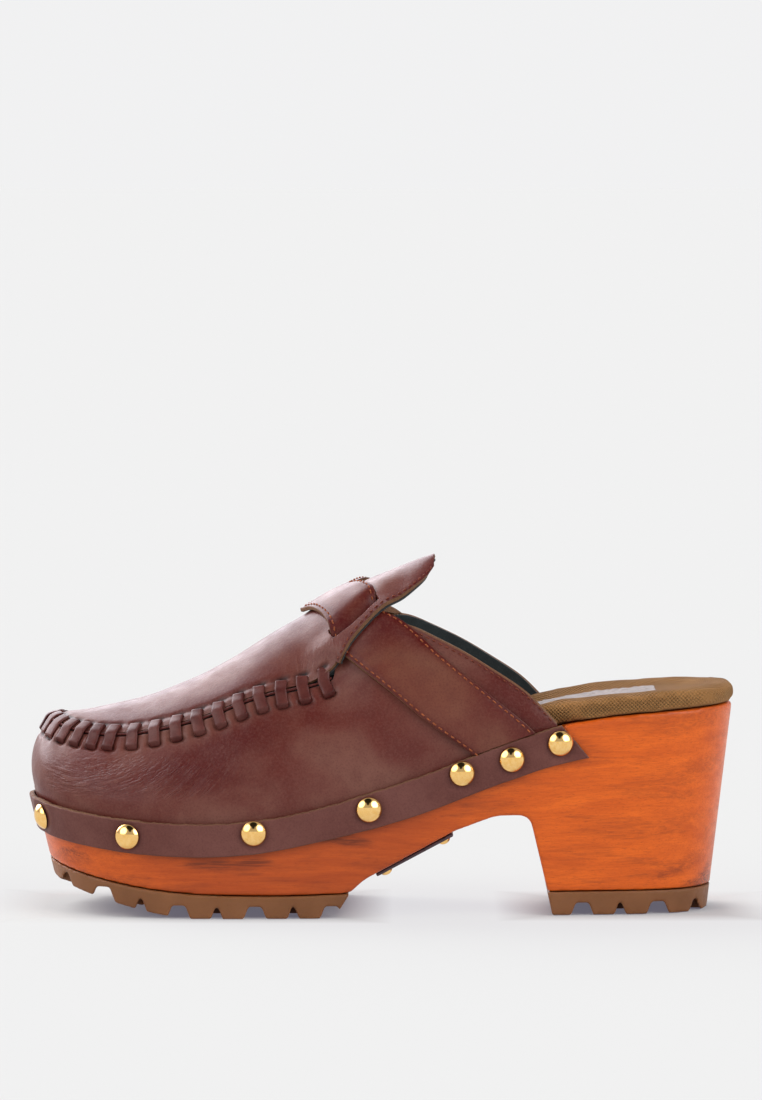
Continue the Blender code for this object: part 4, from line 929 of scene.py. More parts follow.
LEATHER = leather_look("burgundy leather", (0.112, 0.026, 0.019), (0.068, 0.0050, 0.0035), (0.150, 0.058, 0.042),
                       0.37, creases=0.18)
LACE_LEATHER = leather_look("lace leather", (0.082, 0.018, 0.014), (0.048, 0.0060, 0.0048), (0.105, 0.032, 0.026),
                            0.36, grain=0.07)
STRAP_LEATHER = leather_look("strap leather", (0.118, 0.026, 0.018), (0.066, 0.0045, 0.0042), (0.150, 0.055, 0.034),
                             0.35, grain=0.09)
RAND_LEATHER = leather_look("rand leather", (0.122, 0.040, 0.031), (0.080, 0.022, 0.018), (0.142, 0.052, 0.042),
                            0.50, grain=0.07)
WOOD, RUBBER, CANVAS, BRASS, BOARD = wood_look(), rubber_look(), canvas_look(), brass_look(), plate_look()
TONGUE_FELT = cloth_look("tongue lining", (0.004, 0.005, 0.005), (0.012, 0.015, 0.015), 0.85, 0.5)
FELT = cloth_look("lining felt", (0.010, 0.017, 0.018), (0.028, 0.040, 0.041), 0.8, 0.5)
SOCK = cloth_look("sock strip", (0.12, 0.092, 0.078), (0.29, 0.236, 0.210), 0.75, 1.0)
RUST_THREAD = thread_look("rust thread", (0.13, 0.024, 0.008), (0.37, 0.105, 0.034))
DARK_THREAD = thread_look("dark thread", (0.060, 0.010, 0.006), (0.20, 0.046, 0.021))
SEAM_THREAD = thread_look("seam cord", (0.035, 0.007, 0.006), (0.105, 0.017, 0.012))


# ---- Pieces


def show(thing, slot, *nodes):
    """The piece rides with the clog, and stands for CAD nodes."""
    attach(thing, "root")
    if nodes:
        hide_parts(*nodes)
    return thing


def around(count):
    """Evenly spaced places all round the outline."""
    return outline.outer_end + outline.length * np.arange(count) / count


def make_wood(body):
    top = [(x, float(seat(x))) for x in np.linspace(PAST_END, -PAST_END, 131)]
    forepart = [(x, float(wood_bottom(x))) for x in np.linspace(-PAST_END, -12, 60)]
    arch = rounded(ARCH_CORNERS + [(*BREAST_FOOT, 0.0)], 14)
    wood = plate("sole_wood", forepart + arch + [(PAST_END, BREAST_FOOT[1])] + top, *PAST_SIDES, WOOD)
    cut_now(wood, body, operation="INTERSECT", keep=True)
    places = outline.places_to_x(REBATE_END, 200)
    floor = rand_bottom_at(outline.x_at(places)) + REBATE_FLOOR
    cut_now(wood, wall_round("rebate_cutter", places, (12.0, REBATE), floor, 95.0))
    rounded_solid(wood, WOOD_VOXEL, 5)
    points = points_of(wood)
    x, _, z = points.T
    patch = lumps(points[:, [0, 2, 1]] * (0.30, 1.6, 0.4), 9.0, 3.0)
    low_heel = bell(z, 11.0, 4.5) * smoothstep(x, 60, 75) * np.clip(0.35 + patch * 2.5, 0, 1) * 0.7
    # painted shade just under the rand's overhang, broken up by the streaks
    shade_below_rand = bell(z, rand_bottom_at(x), 5.0) * smoothstep(-x, -62, 0)
    streaks = np.clip(patch * 3.4 - 0.35, 0, 1)
    # painted shade: the forepart and waist are darker and cooler than the heel, less so at the toe
    store(wood, "shade", (0.15 + 0.85 * smoothstep(-x, -62, -8)) * (1 - 0.5 * smoothstep(-x, 55, 100)))
    # stains low on the heel and in streaks, plus the painted shade under the rand
    store(wood, "stain_and_shade", np.clip(low_heel + shade_below_rand * streaks * 0.75 + streaks * 0.22, 0, 0.9))
    show(wood, "stained_wood", "wood_sole")


def ground_at(x):
    """Height of the tread's underside, which curls up at the toe."""
    end = TREAD_LINE[-1][0]
    return np.where(x < end, tread(np.minimum(x, end)), 0.0)


def groove(x, half_widths, y_low=-75.0, y_high=75.0):
    """A cutter with the section of a groove, which narrows upwards."""
    ground = float(ground_at(x))
    low, high = half_widths
    flare = low + (low - high) * CUTTER_BELOW / GROOVE_DEPTH
    bottom, roof = ground - CUTTER_BELOW, ground + GROOVE_DEPTH
    return plate("groove", [(x - flare, bottom), (x + flare, bottom), (x + high, roof), (x - high, roof)],
                 y_low, y_high)


def channel(first, last, count):
    """A cutter for the channel behind the side lugs."""
    places = np.linspace(first, last, count)
    edges = (-SIDE_LUG_LENGTH, -SIDE_LUG_LENGTH - CHANNEL_WIDTH)
    ground = ground_at(side_point(places, 4.0, sum(edges) / 2)[:, 0])
    return wall_round("channel", places, edges, ground - CUTTER_BELOW, ground + GROOVE_DEPTH - 0.4)


def make_outsole(name, node, body, section, grooves, cuts, channel_cutter):
    rubber = plate(name, section, *PAST_SIDES, RUBBER)
    cut_now(rubber, body, operation="INTERSECT", keep=True)
    cutters = [groove(x, WIDE_GROOVE) for x in grooves] + [channel_cutter]
    for x in cuts:
        for side in (-1, 1):
            inside = side_point(outline.place_of_x(x, side), 4.0, -SIDE_LUG_LENGTH - 1.0)[1]
            cutters.append(groove(x, NARROW_GROOVE, *sorted((inside, side * 75.0))))
    cut_now(rubber, *cutters)
    rounded_solid(rubber, RUBBER_VOXEL, 2)
    show(rubber, "gum_rubber", node)


def make_outsoles(body):
    top = [(x, float(wood_bottom(x)) - GAP) for x in np.linspace(-12.0, -PAST_END, 60)]
    toe = [(x, float(tread(x))) for x in np.linspace(-PAST_END, TREAD_LINE[-1][0], 40)]
    cutter = channel(outline.place_of_x(-8.0, -1), outline.place_of_x(-8.0, 1), 120)
    make_outsole("tread_forepart", "forepart_outsole", body, toe + FOREPART_END + top, FOREPART_GROOVES,
                 FOREPART_CUTS, cutter)
    top_z = BREAST_FOOT[1] - GAP
    heel = [HEEL_RUBBER_FOOT, (PAST_END, 0.0), (PAST_END, top_z), (BREAST_FOOT[0], top_z)]
    cutter = channel(outline.place_of_x(50.0, 1), outline.place_of_x(50.0, -1) + outline.length, 90)
    make_outsole("tread_heel", "heel_outsole", body, heel, HEEL_GROOVES, HEEL_CUTS, cutter)


def footbed_ring(places, inset, z):
    """The footbed's outline moved in by a distance, at heights above the seat."""
    x = outline.x_at(places)
    out = -FOOTBED_INSET_FRONT + (FOOTBED_INSET_FRONT + FOOTBED_OVERHANG_HEEL) * smoothstep(x, 64, 72)
    moved = side_point(places, seat(x), out - inset)
    moved[..., 2] = seat(x) + z
    return moved


def footbed_height(places):
    x = outline.x_at(places)
    rise = (FOOTBED_HEIGHT_HEEL - FOOTBED_HEIGHT_FRONT) * smoothstep(x, 10, 80)
    return FOOTBED_HEIGHT_FRONT + rise + FOOTBED_SWELL * bell(x, FOOTBED_SWELL_X, FOOTBED_SWELL_REACH)


def swollen(thing, cap, pressure, frames=20):
    """Blows a closed mesh up a little as cloth, with no point moved more than cap millimetres."""
    rest = points_of(thing)
    low = rest[:, 2] - seat(rest[:, 0])
    held = thing.vertex_groups.new(name="held")
    for index in np.nonzero(low < 1.2)[0].tolist():
        held.add([index], 1.0, "REPLACE")
    cloth = thing.modifiers.new("Swell", "CLOTH")
    cloth.settings.quality = 5
    cloth.settings.use_pressure = True
    cloth.settings.uniform_pressure_force = pressure
    cloth.settings.effector_weights.gravity = 0
    cloth.settings.vertex_group_mass = "held"
    scene = bpy.context.scene
    for step in range(1, frames + 1):
        scene.frame_set(step)
    baked(thing)
    scene.frame_set(1)
    moved = points_of(thing) - rest
    length = np.linalg.norm(moved, axis=1, keepdims=True)
    set_points(thing, rest + moved * np.minimum(1, cap / np.maximum(length, 1e-9)))


def make_footbed():
    """The canvas-covered pad. It is blown up as cloth from a slightly smaller shape."""
    places = around(240)
    tall = footbed_height(places) - SWELL_ROOM
    steps = spline(range(len(FOOTBED_RINGS)), FOOTBED_RINGS, np.linspace(0, len(FOOTBED_RINGS) - 1, 25))
    stack = [footbed_ring(places, inset + SWELL_ROOM, GAP + np.clip(share, 0, 1.02) * tall) for inset, share in steps]
    cover = rings("footbed_canvas", stack, CANVAS)
    rounded_solid(cover, PAD_VOXEL, 1)
    swollen(cover, SWELL_CAP, SWELL_PRESSURE)
    finer = cover.modifiers.new("Finer", "SUBSURF")
    finer.levels = finer.render_levels = 1
    baked(cover)
    points = points_of(cover)
    rise = smoothstep(points[:, 2] - seat(points[:, 0]), 2.0, 5.0)
    points[:, 2] += lumps(points, 16.0, 8.0, 2) * 0.35 * rise
    set_points(cover, points)
    show(cover, "canvas", "footbed_cover", "footbed_pad")
    return cover


def tree_of_mesh(thing):
    faces = [tuple(face.vertices) for face in thing.data.polygons]
    return BVHTree.FromPolygons([Vector(p) for p in points_of(thing).tolist()], faces)


def make_sock(cover):
    """A strip of thin cloth down the middle of the footbed, slightly crumpled."""
    surface = tree_of_mesh(cover)
    x, y = np.meshgrid(np.linspace(*SOCK_X, 150), np.linspace(-SOCK_HALF_WIDTH, SOCK_HALF_WIDTH, 56), indexing="ij")
    flat = np.stack([x, y, np.zeros_like(x)], axis=-1)
    x = x + lumps(flat, 6.0, 2.0, 2) * 0.5
    rise = 0.5 + np.abs(lumps(flat * (1.0, 0.45, 1.0), 3.4, 5.0, 4)) * 0.6
    z = np.zeros_like(x)
    for index in np.ndindex(x.shape):
        hit = surface.ray_cast(Vector((x[index], y[index], 200.0)), Vector((0, 0, -1)))[0]
        z[index] = hit.z if hit else 0.0
    on_pad = z.max(axis=1) > 1
    grid = np.stack([x, y, blurred(z, 4) + rise], axis=-1)[on_pad]
    show(skin("sock_strip", grid, SOCK_THICK, SOCK, 0.15), "sock_fabric", "sock_patch")


def seam_places():
    """Rib numbers against distance along the seam from the toe."""
    ribs = np.linspace(0, 10.4, 1200)
    return ribs, lengths_along(last_point(ribs, 1.0))


SEAM_RIBS, SEAM_LENGTHS = seam_places()


def lengths_at(ribs, low, high):
    """The length of the surface line from one height to another, at each rib."""
    rows = last_point(np.asarray(ribs)[:, None], np.linspace(low, high, 40)[None, :])
    return np.linalg.norm(np.diff(rows, axis=1), axis=2).sum(axis=1)


def facing_out(normal, point):
    """Unit normals at points of the upper, turned outwards."""
    normal = unit(normal)
    outward = np.einsum("...i,...i->...", normal, point - on_axis(point[..., 0] * 0.7, 45.0)) > 0
    return np.where(outward[..., None], normal, -normal)


def surface_frame(rib):
    """Points of the seam with their outward normals and directions."""
    step = 0.02
    rib = np.asarray(rib, float)
    point = last_point(rib, 1.0)
    along = last_point(rib + step, 1.0) - last_point(rib - step, 1.0)
    across = last_point(rib, 1 + step) - last_point(rib, 1 - step)
    return point, facing_out(np.cross(along, across), point), unit(along)


# How far along the seam from the toe each loop lies, on either side
STITCH_PLACES = np.cumsum([0.0] + [TOE_PITCH] * TOE_STITCHES + [SIDE_PITCH] * SIDE_STITCHES)


def stitch_ribs():
    """The rib number of each loop, from the outer side round the toe to the inner side."""
    ribs = np.interp(STITCH_PLACES, SEAM_LENGTHS, SEAM_RIBS)
    return np.r_[-ribs[:0:-1], ribs]


def stitch_line(rib, apron, form):
    """Points from under the seam up to it, and over it onto the apron, square to it. Also the seam's way."""
    down, over = STITCH_REACH
    seam, normal, along = surface_frame(rib)
    lower = np.cross(normal, along)
    lower *= -np.sign(lower[2])
    shares = np.linspace(1, 0, STITCH_POINTS)
    wall = [np.array(form.find_nearest(Vector(seam + lower * down * share))[0]) for share in shares]
    inward = np.cross(along, (0.0, 0.0, 1.0))
    inward /= np.linalg.norm(inward)
    if inward @ (np.array([seam[0] * 0.8, 0.0, 0.0]) - seam) < 0:
        inward = -inward
    landed, edge = [seam], SEAM_GAP + 0.3
    for share in np.linspace(0, 1, 2 * STITCH_POINTS)[1:]:
        above = seam + inward * max(over * share, edge)
        before_edge = 1 - min(1.0, over * share / edge)
        landed.append(dropped(apron, above) * (1 - before_edge) + seam * before_edge)
    landed = np.array(landed)
    steps = lengths_along(landed)
    at = np.linspace(0, min(steps[-1], over * 1.12), STITCH_POINTS)[1:]
    return np.concatenate([wall, read_along(at, steps, landed)]), along


def make_lace(apron, form):
    """Flat loops of thong over the seam. Returns the ends of the loops, where the holes are: in turn the one in
    the vamp and the one in the apron."""
    section = superellipse(STITCH_WIDTH - 0.45, STITCH_THICK)
    loops, holes = [], []
    for number, rib in enumerate(stitch_ribs()):
        line, along = stitch_line(rib, apron, form)
        steps = lengths_along(line)
        path = spline(steps, line, np.linspace(0, steps[-1], 34))
        for _ in range(3):
            path[1:-1] = (path[:-2] + 2 * path[1:-1] + path[2:]) / 4
        share = np.linspace(0, 1, len(path))
        forward = unit(np.gradient(path, axis=0))
        across = unit(along - forward * (forward @ along)[:, None])
        normal = facing_out(np.cross(across, forward), path)
        seam_at = steps[STITCH_POINTS - 1] / steps[-1]
        hump = bell((share - seam_at) * steps[-1], 0, 2.3)
        sunk = np.maximum(smoothstep(-share, -0.10, 0.0), smoothstep(share, 0.90, 1.0))
        proud = 0.4 + 0.6 * smoothstep(abs(rib), 1.2, 3.2)
        lift = 0.5 * proud + 0.62 * proud * hump - 1.75 * sunk
        slant = 0.55 * math.sin(number * 2.4) * (share - 0.5)
        centre = path + normal * lift[:, None] + across * slant[:, None]
        twist = 0.05 * math.sin(number * 1.3)
        tilted = across * math.cos(twist) + normal * math.sin(twist)
        sizes = 1 - 0.13 * np.maximum(smoothstep(-share, -0.08, 0.0), smoothstep(share, 0.92, 1.0))
        loops.append(tube(centre, tilted, np.cross(forward, tilted), section, sizes))
        holes += [(path[1], along), (path[-1] + forward[-1] * HOLE_AHEAD, along)]
    lace = joined("lace_thongs", loops, LACE_LEATHER)
    store(lace, "deep", np.clip(0.25 + lumps(points_of(lace), 7.0, 4.0, 2) * 1.4, 0, 1))
    show(lace, "burgundy_leather", "whip_lace")
    return holes


def make_seam_cord():
    """The cord that lies in the seam under the loops."""
    end = float(np.interp(STITCH_PLACES[-1] + 3.2, SEAM_LENGTHS, SEAM_RIBS))
    point, normal, along = surface_frame(np.linspace(-end, end, 500))
    sizes = 1 + 0.07 * np.sin(np.arange(len(point)) * 0.9)
    sizes[[0, -1]] = 0.4
    path = point + normal * (SEAM_CORD_RISE - 0.25)
    cord = tube(path, np.cross(normal, along), normal, circle(12, SEAM_CORD_RADIUS - 0.2), sizes)
    show(joined("lace_seam_cord", [cord], SEAM_THREAD), "burgundy_leather")


def holes_near(points, holes, depth=0.9):
    """How deep each point is pressed in, and how much painted shade it takes, round the ends of the lace's loops."""
    dent, dark = np.zeros(len(points)), np.zeros(len(points))
    for centre, along in holes:
        near = np.nonzero(np.linalg.norm(points - centre, axis=1) < 7)[0]
        arm = points[near] - centre
        lengthwise = arm @ along
        rest = np.linalg.norm(arm - lengthwise[:, None] * along, axis=1)
        dent[near] = np.maximum(dent[near], depth * np.exp(-((lengthwise / 2.7) ** 4 + (rest / 1.15) ** 2)))
        dark[near] = np.maximum(dark[near], np.exp(-((lengthwise / 2.3) ** 4 + (rest / 0.85) ** 2)))
    return dent, dark


def press_holes(thing, holes):
    """Dents the leather where the lace goes through, and paints shade into the holes."""
    points = points_of(thing)
    normals = np.zeros(points.size)
    thing.data.vertex_normals.foreach_get("vector", normals)
    dent, dark = holes_near(points, holes)
    set_points(thing, points - normals.reshape(-1, 3) * dent[:, None])
    store(thing, "dark", np.clip(dark * 1.15, 0, 1))


def rub_and_shade_at(place):
    """How dark the leather is, by place: a deep patch under the seam, partly rubbed and partly painted dark
    reflection, painted shade low on the side, and a darker strip along the strap's foot.
    """
    x, z = place[..., 0], place[..., 2]
    seam_side = bell(x, -50, 24) * bell(z - (0.42 * x + 84.0), -1, 7.5)
    # painted shade low on the vamp's side
    lower = bell(x, -62, 16) * bell(z, 50, 8) * 0.6
    return np.clip(seam_side * 1.1 + lower + bell(x, -116, 6) * 0.4 + smoothstep(x, 18, 44) * 0.35, 0, 1)


def crease_place(place):
    """Where points lie on the toe's creases, which are arcs in side view: along an arc, and out across them."""
    arm = place[..., (0, 2)] - np.array(CREASE_CENTRE)
    radius = np.linalg.norm(arm, axis=-1)
    along = np.arctan2(arm[..., 0], -arm[..., 1]) * 45.0 + np.where(place[..., 1] > 0, 300.0, 0.0)
    return along, radius


def crease_zone(place, below):
    """How strongly the toe's side is creased."""
    x, y, z = place[..., 0], place[..., 1], place[..., 2]
    ends = smoothstep(-x, 40, 70) * smoothstep(np.abs(y), 12, 30)
    return ends * smoothstep(below, 2.5, 7.0) * smoothstep(-z, -60, -50) * smoothstep(z, 40, 45)


def vamp_paint(grid):
    """The vamp's colour values, and the plane its creases are drawn on."""
    place, rib, below = grid[..., :3], grid[..., 3], grid[..., 4]
    top_edge = bell(below, 0, 2.6) * smoothstep(np.abs(rib), 9.8, 10.8) * 0.7
    along, radius = crease_place(place)
    return {"deep": np.clip(rub_and_shade_at(place) + top_edge, 0, 1), "crease": crease_zone(place, below),
            "crease_u": along / 8.0, "crease_v": radius / 1.9}


def make_vamp(holes):
    """The vamp, gathered in puckers between the lace's loops and creased at the toe."""
    ribs = np.linspace(-LAST_RIB, LAST_RIB, 560)
    number = np.abs(ribs)
    walls = lengths_at(ribs, 0, 1)
    tucked = UNDER_WING * smoothstep(number, 9.8, 10.15) * (1 - smoothstep(number, 11.3, 12.2))
    tops = 1 - SEAM_GAP / np.maximum(walls, 2.5) + tucked / np.maximum(lengths_at(ribs, 1, 2), 9.0)
    shares = 1 - (1 - np.linspace(0, 1, 62)) ** 1.25
    feet = np.tile((UPPER_FOOT, -3.0), (len(ribs), 1))
    heights = np.concatenate([feet, tops[:, None] * shares], axis=1)
    place = last_point(ribs[:, None], heights)
    below = (1 - np.clip(heights, 0, 1)) * walls[:, None]
    along = np.interp(number, SEAM_RIBS, SEAM_LENGTHS)[:, None]
    laced = smoothstep(-along, -(STITCH_PLACES[-1] + 4.5), -STITCH_PLACES[-1])
    phase = np.cos(2 * math.pi * np.interp(along, STITCH_PLACES, np.arange(len(STITCH_PLACES))))
    reach = 5.0 + 2.2 * lumps(place * (1, 1, 0.2), 13.0, 6.0, 2)
    fade = bell(np.maximum(below - 3.2, 0), 0, reach) * smoothstep(below, 0.2, 2.2)
    pucker = -PUCKER_DEPTH * phase * fade * laced
    arc, radius = crease_place(place)
    flat = np.stack([arc / 15.0, radius / 2.8, np.zeros_like(below)], axis=-1)
    folds = lumps(flat, 1.0, 1.0, 3) * 0.24 * crease_zone(place, below)
    soft = lumps(place, 24.0, 9.0, 2) * 0.35 * smoothstep(below, 4, 12) * (heights > 0.08)
    place = place + out_of_shoe(place) * ((pucker + folds + soft) * (heights > 0.02))[..., None]
    grid = with_values(place, ribs[:, None], below)
    vamp = skin("upper_vamp", grid, VAMP[1] - VAMP[0], LEATHER, 0.4, vamp_paint)
    press_holes(vamp, holes)
    raw = np.zeros(len(vamp.data.vertices))
    vamp.data.attributes["raw"].data.foreach_get("value", raw)
    topline = np.concatenate([place[ribs * side > 10.6, -1] for side in (-1, 1)])
    store(vamp, "raw", np.maximum(raw, near_line(points_of(vamp), topline, 0.5, 0.45)))
    show(vamp, "burgundy_leather", "vamp")


def lining_tops(ribs):
    """How high the lining reaches: under the apron's edge along the lacing, then just below the topline."""
    number = np.abs(ribs)
    under_seam = 0.98 + 3.5 / np.maximum(lengths_at(ribs, 1, 2), 9.0) * smoothstep(number, 0.8, 2.2)
    below_edge = 1 - (SEAM_GAP + LINING_DROP) / np.maximum(lengths_at(ribs, 0, 1), 3.6)
    return under_seam + (below_edge - under_seam) * smoothstep(number, 9.4, 10.4)


def make_linings():
    depth, thick = VAMP[1] - LINING[1], LINING[1] - LINING[0]
    spans = {"lining_outer": ("lining_outer_side", -LAST_RIB + 0.6, -4.2, 200),
             "puff_toe": ("toe_puff", -4.1, 4.1, 120),
             "lining_inner": ("lining_inner_side", 4.2, LAST_RIB - 0.6, 200)}
    for name, (node, first, last, count) in spans.items():
        ribs = np.linspace(first, last, count)
        tops = lining_tops(ribs)[:, None] * np.linspace(0, 1, 44)
        heights = np.concatenate([np.full((count, 1), UPPER_FOOT), tops], axis=1)
        lining = skin(name, inner_of(last_point(ribs[:, None], heights), depth), thick, FELT, 0.25)
        store(lining, "raw_edge", top_edge_of(points_of(lining)))
        show(lining, "lining_felt", node)


def near_line(points, line, reach, fade):
    """1 where a point lies within reach of a line, falling to 0 over the fade."""
    tree = kdtree.KDTree(len(line))
    for i, point in enumerate(line.tolist()):
        tree.insert(point, i)
    tree.balance()
    return np.clip(1 - (np.array([tree.find(p)[2] for p in points.tolist()]) - reach) / fade, 0, 1)


def top_edge_of(points):
    """Marks the topline behind the lacing, where the lining's brown edge shows."""
    ribs = np.r_[np.linspace(-LAST_RIB, -10, 80), np.linspace(10, LAST_RIB, 80)]
    return near_line(points, last_point(ribs, lining_tops(ribs)), 2.1, 0.7) * smoothstep(points[:, 2], 66, 70)


def apron_base(rib, across):
    """The apron and tongue before they are lifted over the strap. across runs from -1 (outer edge) to 1."""
    rib, across = np.broadcast_arrays(np.asarray(rib, float), np.asarray(across, float))
    side = np.where(across < 0, -1.0, 1.0)
    front = last_point(side * np.minimum(rib, LAST_RIB), 2 - np.abs(across))
    numbers = list(rib_numbers[:10]) + [row[0] for row in TONGUE]
    edges = rib_tops[:10] + [row[1] for row in TONGUE]
    centres = rib_crowns[:10] + [row[2] for row in TONGUE]
    power = 2.3 + 0.7 * smoothstep(rib, 9, 11) - 1.35 * smoothstep(rib, 12.5, 14.5)
    back = crown(spline(numbers, edges, rib), spline(numbers, centres, rib), side, np.abs(across), power)
    return front + (back - front) * smoothstep(rib, 8.6, 9.6)[..., None]


def radial_hit(tree, x, angle, reach=160.0):
    """Where a ray towards the shoe's axis first meets a surface, and the ray's way out. Angle 0 is the outer side,
    and 90 is up."""
    turn = math.radians(angle)
    out = Vector((0.0, -math.cos(turn), math.sin(turn)))
    return tree.ray_cast(Vector((x, 0.0, AXIS_Z)) + out * reach, -out)[0], out


def form_tree():
    """The whole upper's outer surface, closed over the instep, for rays to meet."""
    ribs = np.linspace(-LAST_RIB, LAST_RIB, 361)
    heights = np.r_[-30.0, np.linspace(0, 2, 91)]
    return tree_of(last_point(ribs[:, None], heights[None, :]))


def strap_edges(angle):
    """Front and rear x of the strap at ray angles from 0 to 180."""
    folded = np.minimum(angle, 180 - np.asarray(angle, float))
    return spline(STRAP_ANGLES, STRAP_FRONT_X, folded), spline(STRAP_ANGLES, STRAP_REAR_X, folded)


def slit_angle(x, front, rear):
    """Where the slit lies at x, as a ray angle: it rises from the strap's front edge to its rear edge."""
    share = np.clip((x - front) / (rear - front), -0.3, 1.3)
    return SLIT_FRONT_ANGLE + (SLIT_REAR_ANGLE - SLIT_FRONT_ANGLE) * share


def lift_over_strap(grid, rib, form):
    """Moves the tongue's wings out so that they clear the vamp's edge and the strap fits under them."""
    under = APRON_THICK + LAYER_GAP + APRON_LINING_THICK + GAP
    over_strap = under + GAP + STRAP_THICK + STRAP_RISE
    x, y, z = grid[..., 0], grid[..., 1], grid[..., 2]
    angle = np.degrees(np.arctan2(z - AXIS_Z, -y))
    folded = np.minimum(angle, 180 - angle)
    front, rear = strap_edges(np.clip(folded, -12, 90))
    slit = slit_angle(x, front, rear)
    inner = smoothstep(side_distances(grid)[1], 1.0, 12.0)
    near_strap = smoothstep(x, front - 5.0 - 6 * inner, front - 1.2) * smoothstep(-x, -rear - 9, -rear - 1)
    wing = 1 - smoothstep(folded, slit - SLIT_HALF_ANGLE, slit + SLIT_HALF_ANGLE + 0.5)
    share = near_strap * wing * (folded >= 20)
    flap = smoothstep(rib, 9.98, 10.25) * (1 - inner) * (folded >= 20) * smoothstep(-rib, -15.2, -14)
    missing = np.zeros(x.shape)
    for index in zip(*np.nonzero((share > 1e-4) | (flap > 1e-4))):
        hit, way = radial_hit(form, x[index], angle[index])
        if hit is not None:
            clear = (Vector(grid[index]) - hit).dot(way)
            missing[index] = max(0.0, (over_strap - clear) * share[index], (under - clear) * flap[index])
    on_strap = (x > front - 1) & (x < rear + 1) & (folded < slit - SLIT_HALF_ANGLE)
    soft = blurred(missing, 3) * (1 - inner) + blurred(missing, 20) * inner
    return grid + radial_ways(angle) * np.maximum(soft, missing * np.where(on_strap, 0.92, 0.0))[..., None]


def toe_row(steps, form):
    """The apron's front edge, which follows the seam round the toe."""
    seam, _, along = surface_frame(steps * TOE_ROW_RIB)
    ahead = unit(np.stack([along[:, 1], -along[:, 0], np.zeros(len(steps))], axis=1))
    inward = np.where(ahead[:, :1] > 0, ahead, -ahead)
    return np.array([dropped(form, start) for start in seam + inward * (SEAM_GAP + 0.2)])


def dropped(tree, point):
    """The point of a surface straight below or above another point."""
    return np.array(tree.ray_cast(Vector((point[0], point[1], 160.0)), Vector((0, 0, -1)))[0])


def apron_grid(form):
    """Rows from the toe seam to the tongue's tip, each from the outer edge to the inner one. After x, y and z,
    each point carries its rib number, its place across and its distance from the piece's side edge."""
    first = TOE_ROW_RIB + 0.6
    rows = np.r_[first, np.arange(2.3, 9, 0.13), np.arange(9, 15.6, 0.07), np.linspace(15.6, TONGUE_END, 8)]
    steps = np.sin(np.linspace(-1, 1, 121) * math.pi / 2)
    edge = np.where(rows < 10.2, 1 - SEAM_GAP / lengths_at(np.minimum(rows, 10.0), 1, 2), 1.0)
    main = apron_base(rows[:, None], steps * edge[:, None])
    front = toe_row(steps, form)
    shares = np.linspace(0, 1, 9)[:-1]
    lead = [[dropped(form, point) for point in front + (main[0] - front) * share] for share in shares]
    ribs = np.r_[np.linspace(TOE_ROW_RIB, first, 9)[:-1], rows][:, None]
    grid = lift_over_strap(np.concatenate([np.array(lead), main]), ribs, form)
    return with_values(grid, ribs, steps, side_distances(grid)[1])


def apron_paint(grid):
    x, rib, side = grid[..., 0], grid[..., 3], grid[..., 5]
    band = bell(side, 7.0, 6.0) * smoothstep(rib, 3, 5.5) * smoothstep(-rib, -9.6, -7.6)
    # painted shade in the dip in front of the strap
    hollow_shade = bell(x, -34, 13) * 0.55 * smoothstep(side, 10, 20)
    rim = bell(side, 0, 3.0) * smoothstep(rib, 9.4, 10.6) * 0.8
    crease = smoothstep(rib, 8.2, 9.4) * smoothstep(-rib, -11.2, -10.2) * bell(side, 7, 6)
    return {"deep": np.clip(band * 0.85 + hollow_shade + rim, 0, 1), "crease": crease * 0.55,
            "crease_u": x / 2.0, "crease_v": side / 6.0}


def strap_grid(form, apron, angles, widths, out_by, ease=0):
    """The strap's surface, out_by above what it lies on: the vamp at the sides, the apron between the slits.
    Angles may differ across the width."""
    widths = np.asarray(widths, float)[None, :]
    angles = angles.reshape(len(angles), -1) + 0 * widths
    front, rear = strap_edges(angles)
    xs = front + (rear - front) * widths
    slit = slit_angle(xs, front, rear)
    over = smoothstep(np.minimum(angles, 180 - angles), slit - SLIT_HALF_ANGLE, slit + SLIT_HALF_ANGLE)
    reach = np.zeros(xs.shape)
    for i, j in np.ndindex(xs.shape):
        low, out = radial_hit(form, xs[i, j], angles[i, j])
        axis = Vector((xs[i, j], 0, AXIS_Z))
        reach[i, j] = (low - axis).dot(out)
        high = radial_hit(apron, xs[i, j], angles[i, j])[0] if over[i, j] > 0 else None
        if high is not None:
            reach[i, j] += ((high - axis).dot(out) - reach[i, j]) * over[i, j]
    return on_axis(xs, AXIS_Z) + radial_ways(angles) * (blurred(reach, ease) + out_by)[..., None]


def strap_paint(grid):
    side, angle = grid[..., 3], grid[..., 4]
    folded = np.minimum(angle, 180 - angle)
    # painted shade where the strap runs under the tongue's wings at the slits; darker towards its lower ends
    top = bell(folded, 58, 13) * 0.85 + bell(folded, -8, 9) * 0.5
    return {"deep": np.clip(bell(side, 0, 3.4) * 0.75 + top, 0, 1)}


def rand_zone(name):
    """The space of the rand and what lies under it."""
    places = outline.places_to_x(90.0, 300)
    top = seat(outline.x_at(places)) + RAND_ABOVE_SEAT + GAP
    return wall_round(name, places, (12.0, -12.0), top - 30.0, top)


